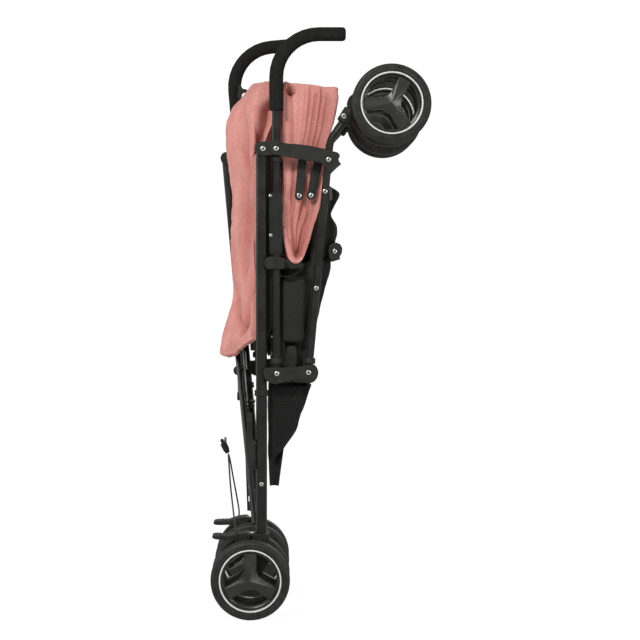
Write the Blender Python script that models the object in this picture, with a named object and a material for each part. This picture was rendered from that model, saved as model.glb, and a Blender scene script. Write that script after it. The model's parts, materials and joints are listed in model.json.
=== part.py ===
# A folded lightweight stroller, as separate pieces that move on each other.
# Units are metres. +X is the stroller's front, +Y its left, +Z up along the folded frame.
# The two side frames are drawn once in side coordinates: x to the front, y across from the
# right side frame's middle plane, z up from the floor under the folded stroller's rear wheels.
import math

import bmesh
import bpy
from mathutils import Matrix, Vector

# Wheels
WHEEL_RADIUS = 0.072
WHEEL_WIDTH = 0.026
RIM_RADIUS = 0.0540
RIM_WIDTH = 0.022
RIM_WALL = 0.0063
SPOKE_THICKNESS = 0.011
HUB_RADIUS = 0.013
WINDOW_HALF_ANGLE = 46
WINDOW_INNER_RADIUS = 0.021
WINDOW_INNER_HALF_ANGLE = 12
TWIN_SPACING = 0.072
REAR_WHEEL_TURN = 30
FRONT_WHEEL_TURN = 0
AXLE_RADIUS = 0.004
AXLE_RECESS = 0.003

# Side frames
SIDE_SPACING = 0.195
LEFT_LEAN = -5.13
REAR_AXLE_X = -0.052
REAR_AXLE_OFFSET = 0.020
REAR_LEG_LENGTH = 0.783
REAR_LEG_RADIUS = 0.0102
REAR_LEG_FOOT = 0.050
TUBE_PITCH = 0.027
HANDLE_TUBE_RADIUS = 0.0078
HANDLE_TUBE_LENGTH = 0.412
HANDLE_TUBE_TOP = 0.150
LINK_LENGTH = 0.0590

# Front legs
FRONT_LEG_RADIUS = 0.0070
FRONT_LEG_STRAIGHT = 0.418
FRONT_LEG_TILT = 5.3
FRONT_LEG_BEND_LENGTH = 0.0492
FRONT_LEG_END_TILT = 38.0
FRONT_BEND_RADIUS = 0.045
LATCH_REACH = 0.393
LEFT_FRONT_LEG_TURN = 4.2
STEM_TILT = 32.0
CASTER_TRAIL = 0.0567
CASTER_DROP = 0.0450
SWIVEL_RADIUS = 0.0130
SWIVEL_HEIGHT = 0.028
STEM_RADIUS = 0.005
STEM_LENGTH = 0.018
FORK_HALF_WIDTH = 0.019
FORK_TOP_RADIUS = 0.0150
FORK_AXLE_RADIUS = 0.0130

# Grips
GRIP_RADIUS = 0.0130
GRIP_START = 0.071
GRIP_STRAIGHT = 0.061
GRIP_BEND_RADIUS = 0.0785
GRIP_HOOK_LENGTH = 0.049
GRIP_NOSE = 0.006

# Brackets, lock and clips
UPPER_BRACKET_RADIUS = 0.0125
UPPER_BRACKET_HALF_WIDTH = 0.0140
UPPER_SLOT_DEPTH = 0.013
LOWER_BRACKET_RADIUS = 0.0170
LOWER_BRACKET_HALF_WIDTH = 0.0130
LOWER_BRACKET_WAIST = 0.0130
LOWER_BRACKET_TOP = 0.0105
LOCK_THICKNESS = 0.004
LOCK_HALF_HEIGHT = 0.0115
LOCK_FLARE = 0.0026
LOCK_DROP_SHARE = 0.62
LOCK_EAR_RADIUS = 0.0120
LOCK_HOOK_LENGTH = 0.0266
LOCK_HOOK_REACH = 0.0210
CLIP_HEIGHT = 0.023
CLIP_REACH = 0.051
CLIP_DROP = 0.211
CLIP_HALF_WIDTH = 0.0120
CLIP_BACK_WALL = 0.0055
CLIP_NOSE_LENGTH = 0.014
CLIP_NOSE_HEIGHT = 0.009
BOW_PIVOT_REACH = 0.036
BLADE_WIDTH = 0.0155
BLADE_THICKNESS = 0.0035
BLADE_LENGTH = 0.064
BLADE_OFFSET = 0.0088
BLADE_TOP_DROP = 0.022
FRONT_BLADE_REACH = 0.0775
FRONT_BLADE_LEAN = 12.3
REAR_BLADE_REACH = 0.0480
REAR_BLADE_LEAN = 5.5

# Rear wheel block, brakes and fold lock
BLOCK_HALF_WIDTH = 0.0190
BLOCK_TOP = 0.080
BLOCK_AXLE_RADIUS = 0.0150
BLOCK_SOCKET_WALL = 0.004
BLOCK_BELLY = 0.008
BLOCK_HEEL_HEIGHT = 0.030
BLOCK_BELLY_HEIGHT = 0.040
PEDAL_LENGTH = 0.046
PEDAL_ROOT_RADIUS = 0.0080
PEDAL_GAP = 0.012
PEDAL_TIP = 0.0030
PEDAL_HALF_WIDTH = 0.0170
PEDAL_HEIGHT = 0.068
PRONG_GAP = 0.012
PRONG_LENGTH = 0.024
FOLD_LOCK_HEIGHT = 0.055
FOLD_LOCK_WIDTH = 0.014
FOLD_LOCK_HALF_WIDTH = 0.006
FOLD_LEVER_LENGTH = 0.050
FOLD_LOCK_FOOT = 0.2725

# Cross braces
BRACE_RADIUS = 0.0050
REAR_BRACE_LENGTH = 0.372
BACK_BRACE_LENGTH = 0.393
BRACE_OPEN_END_GAP = 0.016
BRACE_PLANE_GAP = 0.0015
REAR_BRACE_FOOT = 0.014
BACK_BRACE_FOOT = 0.030
HOOD_HALF_DEPTH = 0.006

# Leg rest arms
LEG_REST_WIDTH = 0.0360
LEG_REST_GAP = 0.004
LEG_REST_DEPTH = 0.017
LEG_REST_STUB = 0.034
LEG_REST_STUB_WIDTH = 0.0184
LEG_REST_BOSS_RADIUS = 0.0130
LEG_REST_BOSS_HEIGHT = 0.031
LEG_REST_FORWARD = 0.0045

# Cloth: heights are told from the upper brackets, the hood clips and the lower brackets
HOOD_RISE = 0.127
HOOD_TIP_RISE = 0.002
FLAP_HEM_RISE = 0.060
FLAP_HEM_SLANT = -0.030
FLAP_REACH = 0.067
BASKET_TOP_DROP = 0.023
BASKET_DEPTH = 0.136
SEAT_TOP_DROP = 0.065
SEAT_BOTTOM_RISE = 0.027
FOLD_DEPTH = 0.007
CLOTH_LEAN_SHARE = 0.6

# Brake cable and its joiner
CABLE_RADIUS = 0.0016
JOINER_RADIUS = 0.0062
JOINER_LENGTH = 0.030

# Fits
CLEARANCE = 0.0003
RUNNING_GAP = 0.0008
SIDE_GAP = 0.0015

# Places that the other sizes settle
AXLE_Z = WHEEL_RADIUS
LEG_X = REAR_AXLE_X + REAR_AXLE_OFFSET
TUBE_X = LEG_X + TUBE_PITCH
UPPER_Z = AXLE_Z + REAR_LEG_LENGTH
LOWER_Z = UPPER_Z - HANDLE_TUBE_LENGTH
FRONT_PIVOT_X = TUBE_X + LINK_LENGTH
CLIP_Z = UPPER_Z - CLIP_DROP
GRIP_Z = UPPER_Z + GRIP_START
LATCH_X = FRONT_PIVOT_X + LATCH_REACH * math.sin(math.radians(FRONT_LEG_TILT))
LATCH_Z = LOWER_Z + LATCH_REACH * math.cos(math.radians(FRONT_LEG_TILT))
HOOD_TOP = UPPER_Z + HOOD_RISE
HOOD_TIP = CLIP_Z + HOOD_TIP_RISE
FLAP_HEM = LOWER_Z + FLAP_HEM_RISE
SEAT_TOP = UPPER_Z - SEAT_TOP_DROP
SEAT_BOTTOM = LOWER_Z + SEAT_BOTTOM_RISE
BASKET_TOP = LOWER_Z - BASKET_TOP_DROP
HOOK_X = TUBE_X + GRIP_BEND_RADIUS + GRIP_HOOK_LENGTH / 2
HOOK_Z = GRIP_Z + GRIP_STRAIGHT + GRIP_BEND_RADIUS - GRIP_RADIUS

SMOOTH_ANGLE = 40
ROUND_SIDES = 16
WHEEL_STEPS = 20
BEND_STEPS = 6
CUT_MARGIN = 0.02


# Placing and finishing

def clear_scene():
    for thing in list(bpy.data.objects):
        bpy.data.objects.remove(thing)


def make_material(name, color, roughness, metallic=0.0):
    material = bpy.data.materials.new(name)
    material.use_nodes = True
    shader = material.node_tree.nodes["Principled BSDF"]
    shader.inputs["Base Color"].default_value = (*color, 1.0)
    shader.inputs["Roughness"].default_value = roughness
    shader.inputs["Metallic"].default_value = metallic
    return material


def make_materials():
    return {
        "tube": make_material("black_tube", (0.012, 0.012, 0.013), 0.38, 0.2),
        "plastic": make_material("black_plastic", (0.015, 0.015, 0.016), 0.5),
        "foam": make_material("black_foam", (0.01, 0.01, 0.01), 0.9),
        "tyre": make_material("tyre_rubber", (0.012, 0.012, 0.012), 0.85),
        "rim": make_material("rim_plastic", (0.02, 0.02, 0.021), 0.42),
        "steel": make_material("steel", (0.55, 0.55, 0.56), 0.3, 1.0),
        "pink": make_material("pink_cloth", (0.74, 0.32, 0.28), 0.92),
        "black_cloth": make_material("black_cloth", (0.014, 0.014, 0.015), 0.95),
        "mesh": make_material("black_mesh", (0.02, 0.02, 0.02), 0.9),
        "wire": make_material("cable_sheath", (0.02, 0.02, 0.02), 0.45),
    }


# The origin is where the right handle hangs: the underside of its hook.
def origin_shift():
    return Matrix.Translation((-HOOK_X, 0, -HOOK_Z))


# A turn about the rear axle takes the left frame from upright to its lean.
def left_frame_matrix():
    axle = Matrix.Translation((REAR_AXLE_X, 0, AXLE_Z))
    lean = Matrix.Rotation(math.radians(LEFT_LEAN), 4, "Y")
    return axle @ lean @ axle.inverted()


# The left front leg leans less than its frame: it turns about the left lower bracket's pivot.
def left_leg_matrix():
    pivot = Vector((FRONT_PIVOT_X, 0, LOWER_Z))
    moved = left_frame_matrix() @ pivot
    turn = Matrix.Rotation(math.radians(LEFT_FRONT_LEG_TURN), 4, "Y")
    return Matrix.Translation(moved) @ turn @ Matrix.Translation(-pivot)


def make_side(name, plane, outward, frame, leg):
    return {"name": name, "plane": plane, "out": outward, "frame": frame, "leg": leg}


# The distance across the stroller of a point that far outward of a side's middle plane.
def across(side, outward):
    return side["plane"] + side["out"] * outward


# A group is an empty on a joint's axis. Its pieces are drawn in side coordinates.
def make_group(name, placement, pivot):
    empty = bpy.data.objects.new(name, None)
    empty.empty_display_size = 0.03
    bpy.context.scene.collection.objects.link(empty)
    empty.matrix_world = origin_shift() @ placement @ Matrix.Translation(pivot)
    return {"empty": empty, "pivot": Vector(pivot)}


def link_to_group(thing, group):
    bpy.context.scene.collection.objects.link(thing)
    thing.parent = group["empty"]


def finish(name, bm, group, material, smooth=True):
    bmesh.ops.remove_doubles(bm, verts=bm.verts, dist=1e-6)
    bmesh.ops.recalc_face_normals(bm, faces=bm.faces)
    bmesh.ops.translate(bm, verts=bm.verts, vec=-group["pivot"])
    mesh = bpy.data.meshes.new(name)
    bm.to_mesh(mesh)
    bm.free()
    if smooth:
        mesh.shade_smooth()
        mesh.set_sharp_from_angle(angle=math.radians(SMOOTH_ANGLE))
    thing = bpy.data.objects.new(name, mesh)
    thing.data.materials.append(material)
    link_to_group(thing, group)
    return thing


def combine(target, tool, operation):
    tool.hide_render = True
    tool.display_type = "WIRE"
    modifier = target.modifiers.new(tool.name, "BOOLEAN")
    modifier.operation = operation
    modifier.object = tool
    modifier.solver = "EXACT"


def round_edges(thing, width, segments=1):
    modifier = thing.modifiers.new("edge", "BEVEL")
    modifier.width = width
    modifier.segments = segments
    modifier.limit_method = "ANGLE"
    modifier.angle_limit = math.radians(50)


# Shapes

def arc(x, z, radius, start, end, count):
    angles = [math.radians(start + (end - start) * i / count) for i in range(count + 1)]
    return [(x + radius * math.cos(a), z + radius * math.sin(a)) for a in angles]


# A flat outline in x and z, made thick across the stroller from y0 to y1.
def prism(outline, y0, y1):
    bm = bmesh.new()
    face = bm.faces.new([bm.verts.new((x, y0, z)) for x, z in outline])
    grown = bmesh.ops.extrude_face_region(bm, geom=[face])["geom"]
    moved = [v for v in grown if isinstance(v, bmesh.types.BMVert)]
    bmesh.ops.translate(bm, verts=moved, vec=(0, y1 - y0, 0))
    return bm


def aim(axis, centre):
    turn = Vector((0, 0, 1)).rotation_difference(Vector(axis)).to_matrix().to_4x4()
    return Matrix.Translation(centre) @ turn


# A round bar between two points.
def rod(start, end, radius, sides=ROUND_SIDES):
    start = Vector(start)
    end = Vector(end)
    bm = bmesh.new()
    bmesh.ops.create_cone(
        bm, cap_ends=True, segments=sides, radius1=radius, radius2=radius,
        depth=(end - start).length, matrix=aim(end - start, (start + end) / 2))
    return bm


# A profile of (radius, height) points, turned about an axis through the centre.
def turned(profile, centre, axis, steps, closed):
    bm = bmesh.new()
    verts = [bm.verts.new((radius, 0, height)) for radius, height in profile]
    pairs = list(zip(verts, verts[1:]))
    if closed:
        pairs.append((verts[-1], verts[0]))
    edges = [bm.edges.new(pair) for pair in pairs]
    bmesh.ops.spin(
        bm, geom=verts + edges, cent=(0, 0, 0), axis=(0, 0, 1), angle=math.tau,
        steps=steps, use_merge=True)
    bmesh.ops.remove_doubles(bm, verts=bm.verts, dist=1e-6)
    bmesh.ops.transform(bm, matrix=aim(axis, centre), verts=bm.verts)
    return bm


# A round tube along a line of points.
def swept(name, points, radius, group, material, resolution=3):
    curve = bpy.data.curves.new(name, "CURVE")
    curve.dimensions = "3D"
    curve.bevel_depth = radius
    curve.bevel_resolution = resolution
    curve.use_fill_caps = True
    spline = curve.splines.new("POLY")
    spline.points.add(len(points) - 1)
    for place, point in zip(spline.points, points):
        place.co = (*(Vector(point) - group["pivot"]), 1)
    thing = bpy.data.objects.new(name, curve)
    thing.data.materials.append(material)
    link_to_group(thing, group)
    return thing


# A smooth curve through a few chosen points, with steps points to each span.
def smooth_through(points, steps):
    ends = [points[0] * 2 - points[1]] + points + [points[-1] * 2 - points[-2]]
    result = []
    for a, b, c, d in zip(ends, ends[1:], ends[2:], ends[3:]):
        for i in range(steps):
            t = i / steps
            result.append(0.5 * (2 * b + (c - a) * t + (2 * a - 5 * b + 4 * c - d) * t ** 2
                                 + (3 * b - a - 3 * c + d) * t ** 3))
    result.append(points[-1])
    return result


# Closed rings of points, stacked and joined into one solid.
def stacked(rings):
    bm = bmesh.new()
    loops = [[bm.verts.new(point) for point in ring] for ring in rings]
    for low, high in zip(loops, loops[1:]):
        for i in range(len(low)):
            j = (i + 1) % len(low)
            bm.faces.new((low[i], low[j], high[j], high[i]))
    bm.faces.new(loops[0][::-1])
    bm.faces.new(loops[-1])
    return bm


# A round bar along a line that stays in one x-z plane. Its far end can be rounded off.
def bent_bar(points, radius, nose=0.0, sides=ROUND_SIDES):
    points = [Vector(point) for point in points]
    radii = [radius] * len(points)
    if nose:
        tip = (points[-1] - points[-2]).normalized()
        end = points[-1]
        points[-1] = end - tip * nose
        for turn in (35, 65, 88):
            angle = math.radians(turn)
            points.append(end - tip * nose * (1 - math.sin(angle)))
            radii.append(radius - nose + nose * math.cos(angle))
    rings = []
    for i, point in enumerate(points):
        before = points[max(i - 1, 0)]
        after = points[min(i + 1, len(points) - 1)]
        along = (after - before).normalized()
        across_line = Vector((along.z, 0, -along.x))
        ring = []
        for step in range(sides):
            angle = math.tau * step / sides
            ring.append(point + across_line * radii[i] * math.cos(angle)
                        + Vector((0, radii[i] * math.sin(angle), 0)))
        rings.append(ring)
    return stacked(rings)


# Wheels

def tyre(side, place, outward, group, material):
    half = WHEEL_WIDTH / 2
    inner = RIM_RADIUS + CLEARANCE
    shoulder = WHEEL_RADIUS - 0.005
    profile = [(inner, -half + 0.002), (inner + 0.004, -half), (shoulder, -half + 0.001),
               (WHEEL_RADIUS, -half + 0.007), (WHEEL_RADIUS, half - 0.007),
               (shoulder, half - 0.001), (inner + 0.004, half), (inner, half - 0.002)]
    centre = (place["x"], across(side, outward), place["z"])
    bm = turned(profile, centre, (0, 1, 0), WHEEL_STEPS, True)
    return finish(place["name"] + "_tyre", bm, group, material)


def window_outline(centre_angle):
    outer = RIM_RADIUS - RIM_WALL
    half = WINDOW_HALF_ANGLE
    inner = WINDOW_INNER_HALF_ANGLE
    return (arc(0, 0, outer, centre_angle - half, centre_angle + half, 4)
            + arc(0, 0, WINDOW_INNER_RADIUS, centre_angle + inner, centre_angle - inner, 1))


def rim(side, place, outward, group, material):
    half = RIM_WIDTH / 2
    web = SPOKE_THICKNESS / 2
    bore = AXLE_RADIUS + CLEARANCE
    wall = RIM_RADIUS - RIM_WALL
    profile = [(bore, -half), (HUB_RADIUS, -half), (HUB_RADIUS + 0.003, -web), (wall, -web),
               (wall + 0.002, -half), (RIM_RADIUS, -half), (RIM_RADIUS, half),
               (wall + 0.002, half), (wall, web), (HUB_RADIUS + 0.003, web),
               (HUB_RADIUS, half), (bore, half)]
    y = across(side, outward)
    centre = Vector((place["x"], y, place["z"]))
    body = finish(place["name"] + "_rim", turned(profile, centre, (0, 1, 0), WHEEL_STEPS, True),
                  group, material)
    for number in range(3):
        angle = place["turn"] + 120 * number
        outline = [(centre.x + x, centre.z + z) for x, z in window_outline(angle)]
        bm = prism(outline, y - CUT_MARGIN, y + CUT_MARGIN)
        tool = finish(f"{place['name']}_window_{number}", bm, group, material, False)
        combine(body, tool, "DIFFERENCE")
    return body


def twin_wheels(side, end, placement, x, z, turn, materials):
    for label, outward in (("outer", TWIN_SPACING / 2), ("inner", -TWIN_SPACING / 2)):
        name = f"{side['name']}_{end}_{label}"
        pivot = (x, across(side, outward), z)
        group = make_group(name + "_wheel_axis", placement, pivot)
        place = {"name": name, "x": x, "z": z, "turn": turn}
        tyre(side, place, outward, group, materials["tyre"])
        rim(side, place, outward, group, materials["rim"])


def axle(side, end, group, x, z, material):
    half = TWIN_SPACING / 2 + RIM_WIDTH / 2 - AXLE_RECESS
    bm = rod((x, across(side, -half), z), (x, across(side, half), z), AXLE_RADIUS, 12)
    finish(f"{side['name']}_{end}_axle", bm, group, material)


def bore(name, start, end, radius, body, group, material, sides=ROUND_SIDES):
    tool = finish(name, rod(start, end, radius, sides), group, material, False)
    combine(body, tool, "DIFFERENCE")


# Rear legs, wheel blocks and brakes

def rear_leg(side, group, material):
    y = across(side, 0)
    top = UPPER_Z + REAR_LEG_RADIUS * 0.6
    bm = rod((LEG_X, y, AXLE_Z + REAR_LEG_FOOT), (LEG_X, y, top), REAR_LEG_RADIUS)
    return finish(side["name"] + "_rear_leg", bm, group, material)


def rear_block(side, group, materials):
    top = AXLE_Z + BLOCK_TOP
    wide = REAR_LEG_RADIUS + BLOCK_SOCKET_WALL
    outline = arc(REAR_AXLE_X, AXLE_Z, BLOCK_AXLE_RADIUS, 150, 330, 8)
    outline += [(LEG_X + wide, AXLE_Z + BLOCK_HEEL_HEIGHT), (LEG_X + wide, top),
                (LEG_X - wide, top), (LEG_X - wide - BLOCK_BELLY, AXLE_Z + BLOCK_BELLY_HEIGHT)]
    y = across(side, 0)
    bm = prism(outline, y - BLOCK_HALF_WIDTH, y + BLOCK_HALF_WIDTH)
    body = finish(side["name"] + "_rear_block", bm, group, materials["plastic"])
    socket_floor = AXLE_Z + REAR_LEG_FOOT - CLEARANCE
    bore(side["name"] + "_leg_socket", (LEG_X, y, socket_floor), (LEG_X, y, top + CUT_MARGIN),
         REAR_LEG_RADIUS + CLEARANCE, body, group, materials["plastic"])
    bore(side["name"] + "_axle_bore", (REAR_AXLE_X, y - CUT_MARGIN * 2, AXLE_Z),
         (REAR_AXLE_X, y + CUT_MARGIN * 2, AXLE_Z), AXLE_RADIUS + CLEARANCE, body, group,
         materials["plastic"], 12)
    return body


def pedal_pivot():
    back = LEG_X - REAR_LEG_RADIUS - BLOCK_SOCKET_WALL
    return back - PEDAL_GAP - PEDAL_ROOT_RADIUS, AXLE_Z + PEDAL_HEIGHT


def brake_pedal(side, group, material):
    x, z = pedal_pivot()
    tip = x - PEDAL_LENGTH
    outline = arc(x, z, PEDAL_ROOT_RADIUS, -90, 90, 6)
    outline += [(tip + 0.010, z + 0.001), (tip, z - 0.004), (tip, z - 0.004 - PEDAL_TIP),
                (tip + 0.012, z - 0.009)]
    y = across(side, 0)
    bm = prism(outline, y - PEDAL_HALF_WIDTH, y + PEDAL_HALF_WIDTH)
    body = finish(side["name"] + "_brake_pedal", bm, group, material)
    gap = [(tip - CUT_MARGIN, z - CUT_MARGIN), (tip + PRONG_LENGTH, z - CUT_MARGIN),
           (tip + PRONG_LENGTH, z + CUT_MARGIN), (tip - CUT_MARGIN, z + CUT_MARGIN)]
    bm = prism(gap, y - PRONG_GAP / 2, y + PRONG_GAP / 2)
    tool = finish(side["name"] + "_prong_gap", bm, group, material, False)
    combine(body, tool, "DIFFERENCE")
    return body


# The lock turns on a pin in its round foot.
def fold_lock_pivot():
    return LEG_X - REAR_LEG_RADIUS - RUNNING_GAP - FOLD_LOCK_WIDTH / 2, FOLD_LOCK_FOOT


def fold_lock(side, group, material):
    x, z = fold_lock_pivot()
    radius = FOLD_LOCK_WIDTH / 2
    high = z - radius + FOLD_LOCK_HEIGHT
    lever = high + FOLD_LEVER_LENGTH
    outline = arc(x, z, radius, 180, 360, 8)
    outline += [(x + radius, high), (x + radius - 0.005, high + 0.004),
                (x + radius - 0.006, lever), (x - radius, lever + 0.004),
                (x - radius - 0.004, high)]
    y = across(side, 0)
    bm = prism(outline, y - FOLD_LOCK_HALF_WIDTH, y + FOLD_LOCK_HALF_WIDTH)
    body = finish("fold_lock", bm, group, material)
    round_edges(body, 0.0012)
    return body


# Handle tubes, grips and brackets

def handle_tube(side, group, material):
    y = across(side, 0)
    low = (TUBE_X, y, LOWER_Z - HANDLE_TUBE_RADIUS)
    high = (TUBE_X, y, UPPER_Z + HANDLE_TUBE_TOP)
    return finish(side["name"] + "_handle_tube", rod(low, high, HANDLE_TUBE_RADIUS), group,
                  material)


def grip_line(side):
    y = across(side, 0)
    bend_z = GRIP_Z + GRIP_STRAIGHT
    bend_x = TUBE_X + GRIP_BEND_RADIUS
    points = [(TUBE_X, y, GRIP_Z)]
    points += [(x, y, z) for x, z in arc(bend_x, bend_z, GRIP_BEND_RADIUS, 180, 90, 9)]
    points.append((bend_x + GRIP_HOOK_LENGTH, y, bend_z + GRIP_BEND_RADIUS))
    return points


def grip(side, group, material):
    name = side["name"] + "_grip"
    body = finish(name, bent_bar(grip_line(side), GRIP_RADIUS, GRIP_NOSE), group, material)
    y = across(side, 0)
    bore_top = UPPER_Z + HANDLE_TUBE_TOP + CLEARANCE
    bore(name + "_bore", (TUBE_X, y, GRIP_Z - CUT_MARGIN), (TUBE_X, y, bore_top),
         HANDLE_TUBE_RADIUS + CLEARANCE, body, group, material)
    return body


def stadium(x0, x1, z, radius):
    return arc(x1, z, radius, -90, 90, 8) + arc(x0, z, radius, 90, 270, 8)


def upper_bracket(side, group, material):
    y = across(side, 0)
    bm = prism(stadium(LEG_X, TUBE_X, UPPER_Z, UPPER_BRACKET_RADIUS),
               y - UPPER_BRACKET_HALF_WIDTH, y + UPPER_BRACKET_HALF_WIDTH)
    body = finish(side["name"] + "_upper_bracket", bm, group, material)
    slot_half = REAR_LEG_RADIUS + RUNNING_GAP
    slot_end = LEG_X + UPPER_SLOT_DEPTH + RUNNING_GAP
    slot_start = LEG_X - UPPER_BRACKET_RADIUS - CUT_MARGIN
    slot = [(slot_start, UPPER_Z - CUT_MARGIN), (slot_end, UPPER_Z - CUT_MARGIN),
            (slot_end, UPPER_Z + CUT_MARGIN), (slot_start, UPPER_Z + CUT_MARGIN)]
    tool = finish(side["name"] + "_leg_slot", prism(slot, y - slot_half, y + slot_half),
                  group, material, False)
    combine(body, tool, "DIFFERENCE")
    bore(side["name"] + "_upper_bore", (TUBE_X, y, UPPER_Z - CUT_MARGIN),
         (TUBE_X, y, UPPER_Z + CUT_MARGIN), HANDLE_TUBE_RADIUS + CLEARANCE, body, group,
         material)
    return body


def lower_bracket(side, group, material):
    y = across(side, 0)
    radius = LOWER_BRACKET_RADIUS
    middle = (TUBE_X + FRONT_PIVOT_X) / 2
    top = LOWER_Z + LOWER_BRACKET_TOP
    outline = arc(FRONT_PIVOT_X, LOWER_Z, radius, -100, 80, 10)
    outline += [(FRONT_PIVOT_X - radius / 2, top), (TUBE_X - radius + 0.002, top),
                (TUBE_X - radius, top - 0.002)]
    outline += arc(TUBE_X, LOWER_Z, radius, 180, 280, 6)
    outline += arc(middle, LOWER_Z - LOWER_BRACKET_WAIST - radius / 2, radius / 2, 120, 60, 2)
    bm = prism(outline, y - LOWER_BRACKET_HALF_WIDTH, y + LOWER_BRACKET_HALF_WIDTH)
    body = finish(side["name"] + "_lower_bracket", bm, group, material)
    slots = (("tube_slot", TUBE_X, -1, HANDLE_TUBE_RADIUS),
             ("front_slot", FRONT_PIVOT_X, 1, FRONT_LEG_RADIUS))
    for name, x, direction, tube_radius in slots:
        inner = x - direction * (tube_radius * math.sqrt(2) + RUNNING_GAP)
        outer = x + direction * (radius + CUT_MARGIN)
        slot = [(inner, LOWER_Z - CUT_MARGIN), (outer, LOWER_Z - CUT_MARGIN),
                (outer, LOWER_Z + CUT_MARGIN), (inner, LOWER_Z + CUT_MARGIN)]
        half = tube_radius + RUNNING_GAP
        tool = finish(f"{side['name']}_{name}", prism(slot, y - half, y + half), group,
                      material, False)
        combine(body, tool, "DIFFERENCE")
    return body


def hood_clip(side, group, material):
    y = across(side, 0)
    low = CLIP_Z - CLIP_HEIGHT
    back = TUBE_X - HANDLE_TUBE_RADIUS - CLIP_BACK_WALL
    front = TUBE_X + CLIP_REACH
    outline = [(back, low), (front - CLIP_NOSE_LENGTH, low), (front, low + CLIP_NOSE_HEIGHT),
               (front, CLIP_Z), (back, CLIP_Z)]
    bm = prism(outline, y - CLIP_HALF_WIDTH, y + CLIP_HALF_WIDTH)
    body = finish(side["name"] + "_hood_clip", bm, group, material)
    bore(side["name"] + "_clip_bore", (TUBE_X, y, low - CUT_MARGIN),
         (TUBE_X, y, CLIP_Z + CUT_MARGIN), HANDLE_TUBE_RADIUS + CLEARANCE, body, group,
         material)
    return body


def transport_lock(side, group, material):
    near = UPPER_BRACKET_HALF_WIDTH + CLEARANCE
    far = near + LOCK_THICKNESS
    span = LATCH_X - TUBE_X
    drop = UPPER_Z - LATCH_Z
    upper = []
    lower = []
    for i in range(7):
        t = 0.08 + 0.84 * i / 6
        x = TUBE_X + span * t
        z = UPPER_Z - drop * LOCK_DROP_SHARE * t ** 1.35
        half = LOCK_HALF_HEIGHT + LOCK_FLARE * min(1, t * 1.5)
        upper.append((x, z + half))
        lower.append((x, z - half))
    hook_x = LATCH_X + LOCK_HOOK_REACH
    hook = [(hook_x - 0.012, LATCH_Z + 0.0174), (hook_x, LATCH_Z + 0.0114),
            (hook_x - 0.0022, LATCH_Z + 0.0023), (hook_x + 0.0031, LATCH_Z - 0.0069),
            (LATCH_X + 0.0028, LATCH_Z - LOCK_HOOK_LENGTH)]
    outline = (arc(TUBE_X, UPPER_Z, LOCK_HALF_HEIGHT, 270, 90, 8) + upper + hook
               + arc(LATCH_X, LATCH_Z, LOCK_EAR_RADIUS, -100, -140, 2) + lower[::-1])
    ys = sorted((across(side, near), across(side, far)))
    return finish("transport_lock", prism(outline, *ys), group, material)


def bow_blade(side, label, top_x, lean, group, material):
    top_z = UPPER_Z - BLADE_TOP_DROP
    low_x = top_x - BLADE_LENGTH * math.sin(math.radians(lean))
    low_z = top_z - BLADE_LENGTH * math.cos(math.radians(lean))
    half = BLADE_WIDTH / 2
    outline = arc(top_x, top_z, half, -lean, 180 - lean, 8)
    outline += arc(low_x, low_z, half, 180 - lean, 360 - lean, 8)
    ys = sorted((across(side, -BLADE_OFFSET), across(side, -BLADE_OFFSET - BLADE_THICKNESS)))
    return finish(f"{side['name']}_{label}_blade", prism(outline, *ys), group, material)


# Front legs and casters

def front_leg_line(side):
    y = across(side, 0)
    tilt = math.radians(FRONT_LEG_TILT)
    end_tilt = math.radians(FRONT_LEG_END_TILT)
    start = Vector((FRONT_PIVOT_X, y, LOWER_Z))
    along = Vector((math.sin(tilt), 0, math.cos(tilt)))
    points = [start - along * FRONT_LEG_RADIUS, start + along * FRONT_LEG_STRAIGHT]
    place = points[-1].copy()
    arc_length = FRONT_BEND_RADIUS * (end_tilt - tilt)
    for i in range(BEND_STEPS):
        angle = tilt + (end_tilt - tilt) * (i + 0.5) / BEND_STEPS
        step = arc_length / BEND_STEPS
        place = place + Vector((math.sin(angle), 0, math.cos(angle))) * step
        points.append(place)
    rest = FRONT_LEG_BEND_LENGTH - arc_length
    points.append(place + Vector((math.sin(end_tilt), 0, math.cos(end_tilt))) * rest)
    return points


def stem_axis():
    tilt = math.radians(STEM_TILT)
    return Vector((math.sin(tilt), 0, math.cos(tilt)))


def stem_side():
    tilt = math.radians(STEM_TILT)
    return Vector((math.cos(tilt), 0, -math.sin(tilt)))


# The swivel block's foot sits just past the end of the front leg.
def swivel_foot(side):
    end = front_leg_line(side)[-1]
    slope = math.radians(abs(STEM_TILT - FRONT_LEG_END_TILT))
    return end + stem_axis() * (FRONT_LEG_RADIUS * math.sin(slope) + CLEARANCE)


def swivel_block(side, group, material):
    foot = swivel_foot(side)
    bore_radius = STEM_RADIUS + CLEARANCE
    depth = STEM_LENGTH + CLEARANCE
    profile = [(0, 0), (SWIVEL_RADIUS - 0.002, 0), (SWIVEL_RADIUS, 0.002),
               (SWIVEL_RADIUS, SWIVEL_HEIGHT), (bore_radius, SWIVEL_HEIGHT),
               (bore_radius, SWIVEL_HEIGHT - depth), (0, SWIVEL_HEIGHT - depth)]
    bm = turned(profile, foot, stem_axis(), ROUND_SIDES, False)
    return finish(side["name"] + "_swivel_block", bm, group, material)


def caster_axle(side):
    top = swivel_foot(side) + stem_axis() * SWIVEL_HEIGHT
    return top + stem_axis() * CASTER_DROP + stem_side() * CASTER_TRAIL


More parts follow.
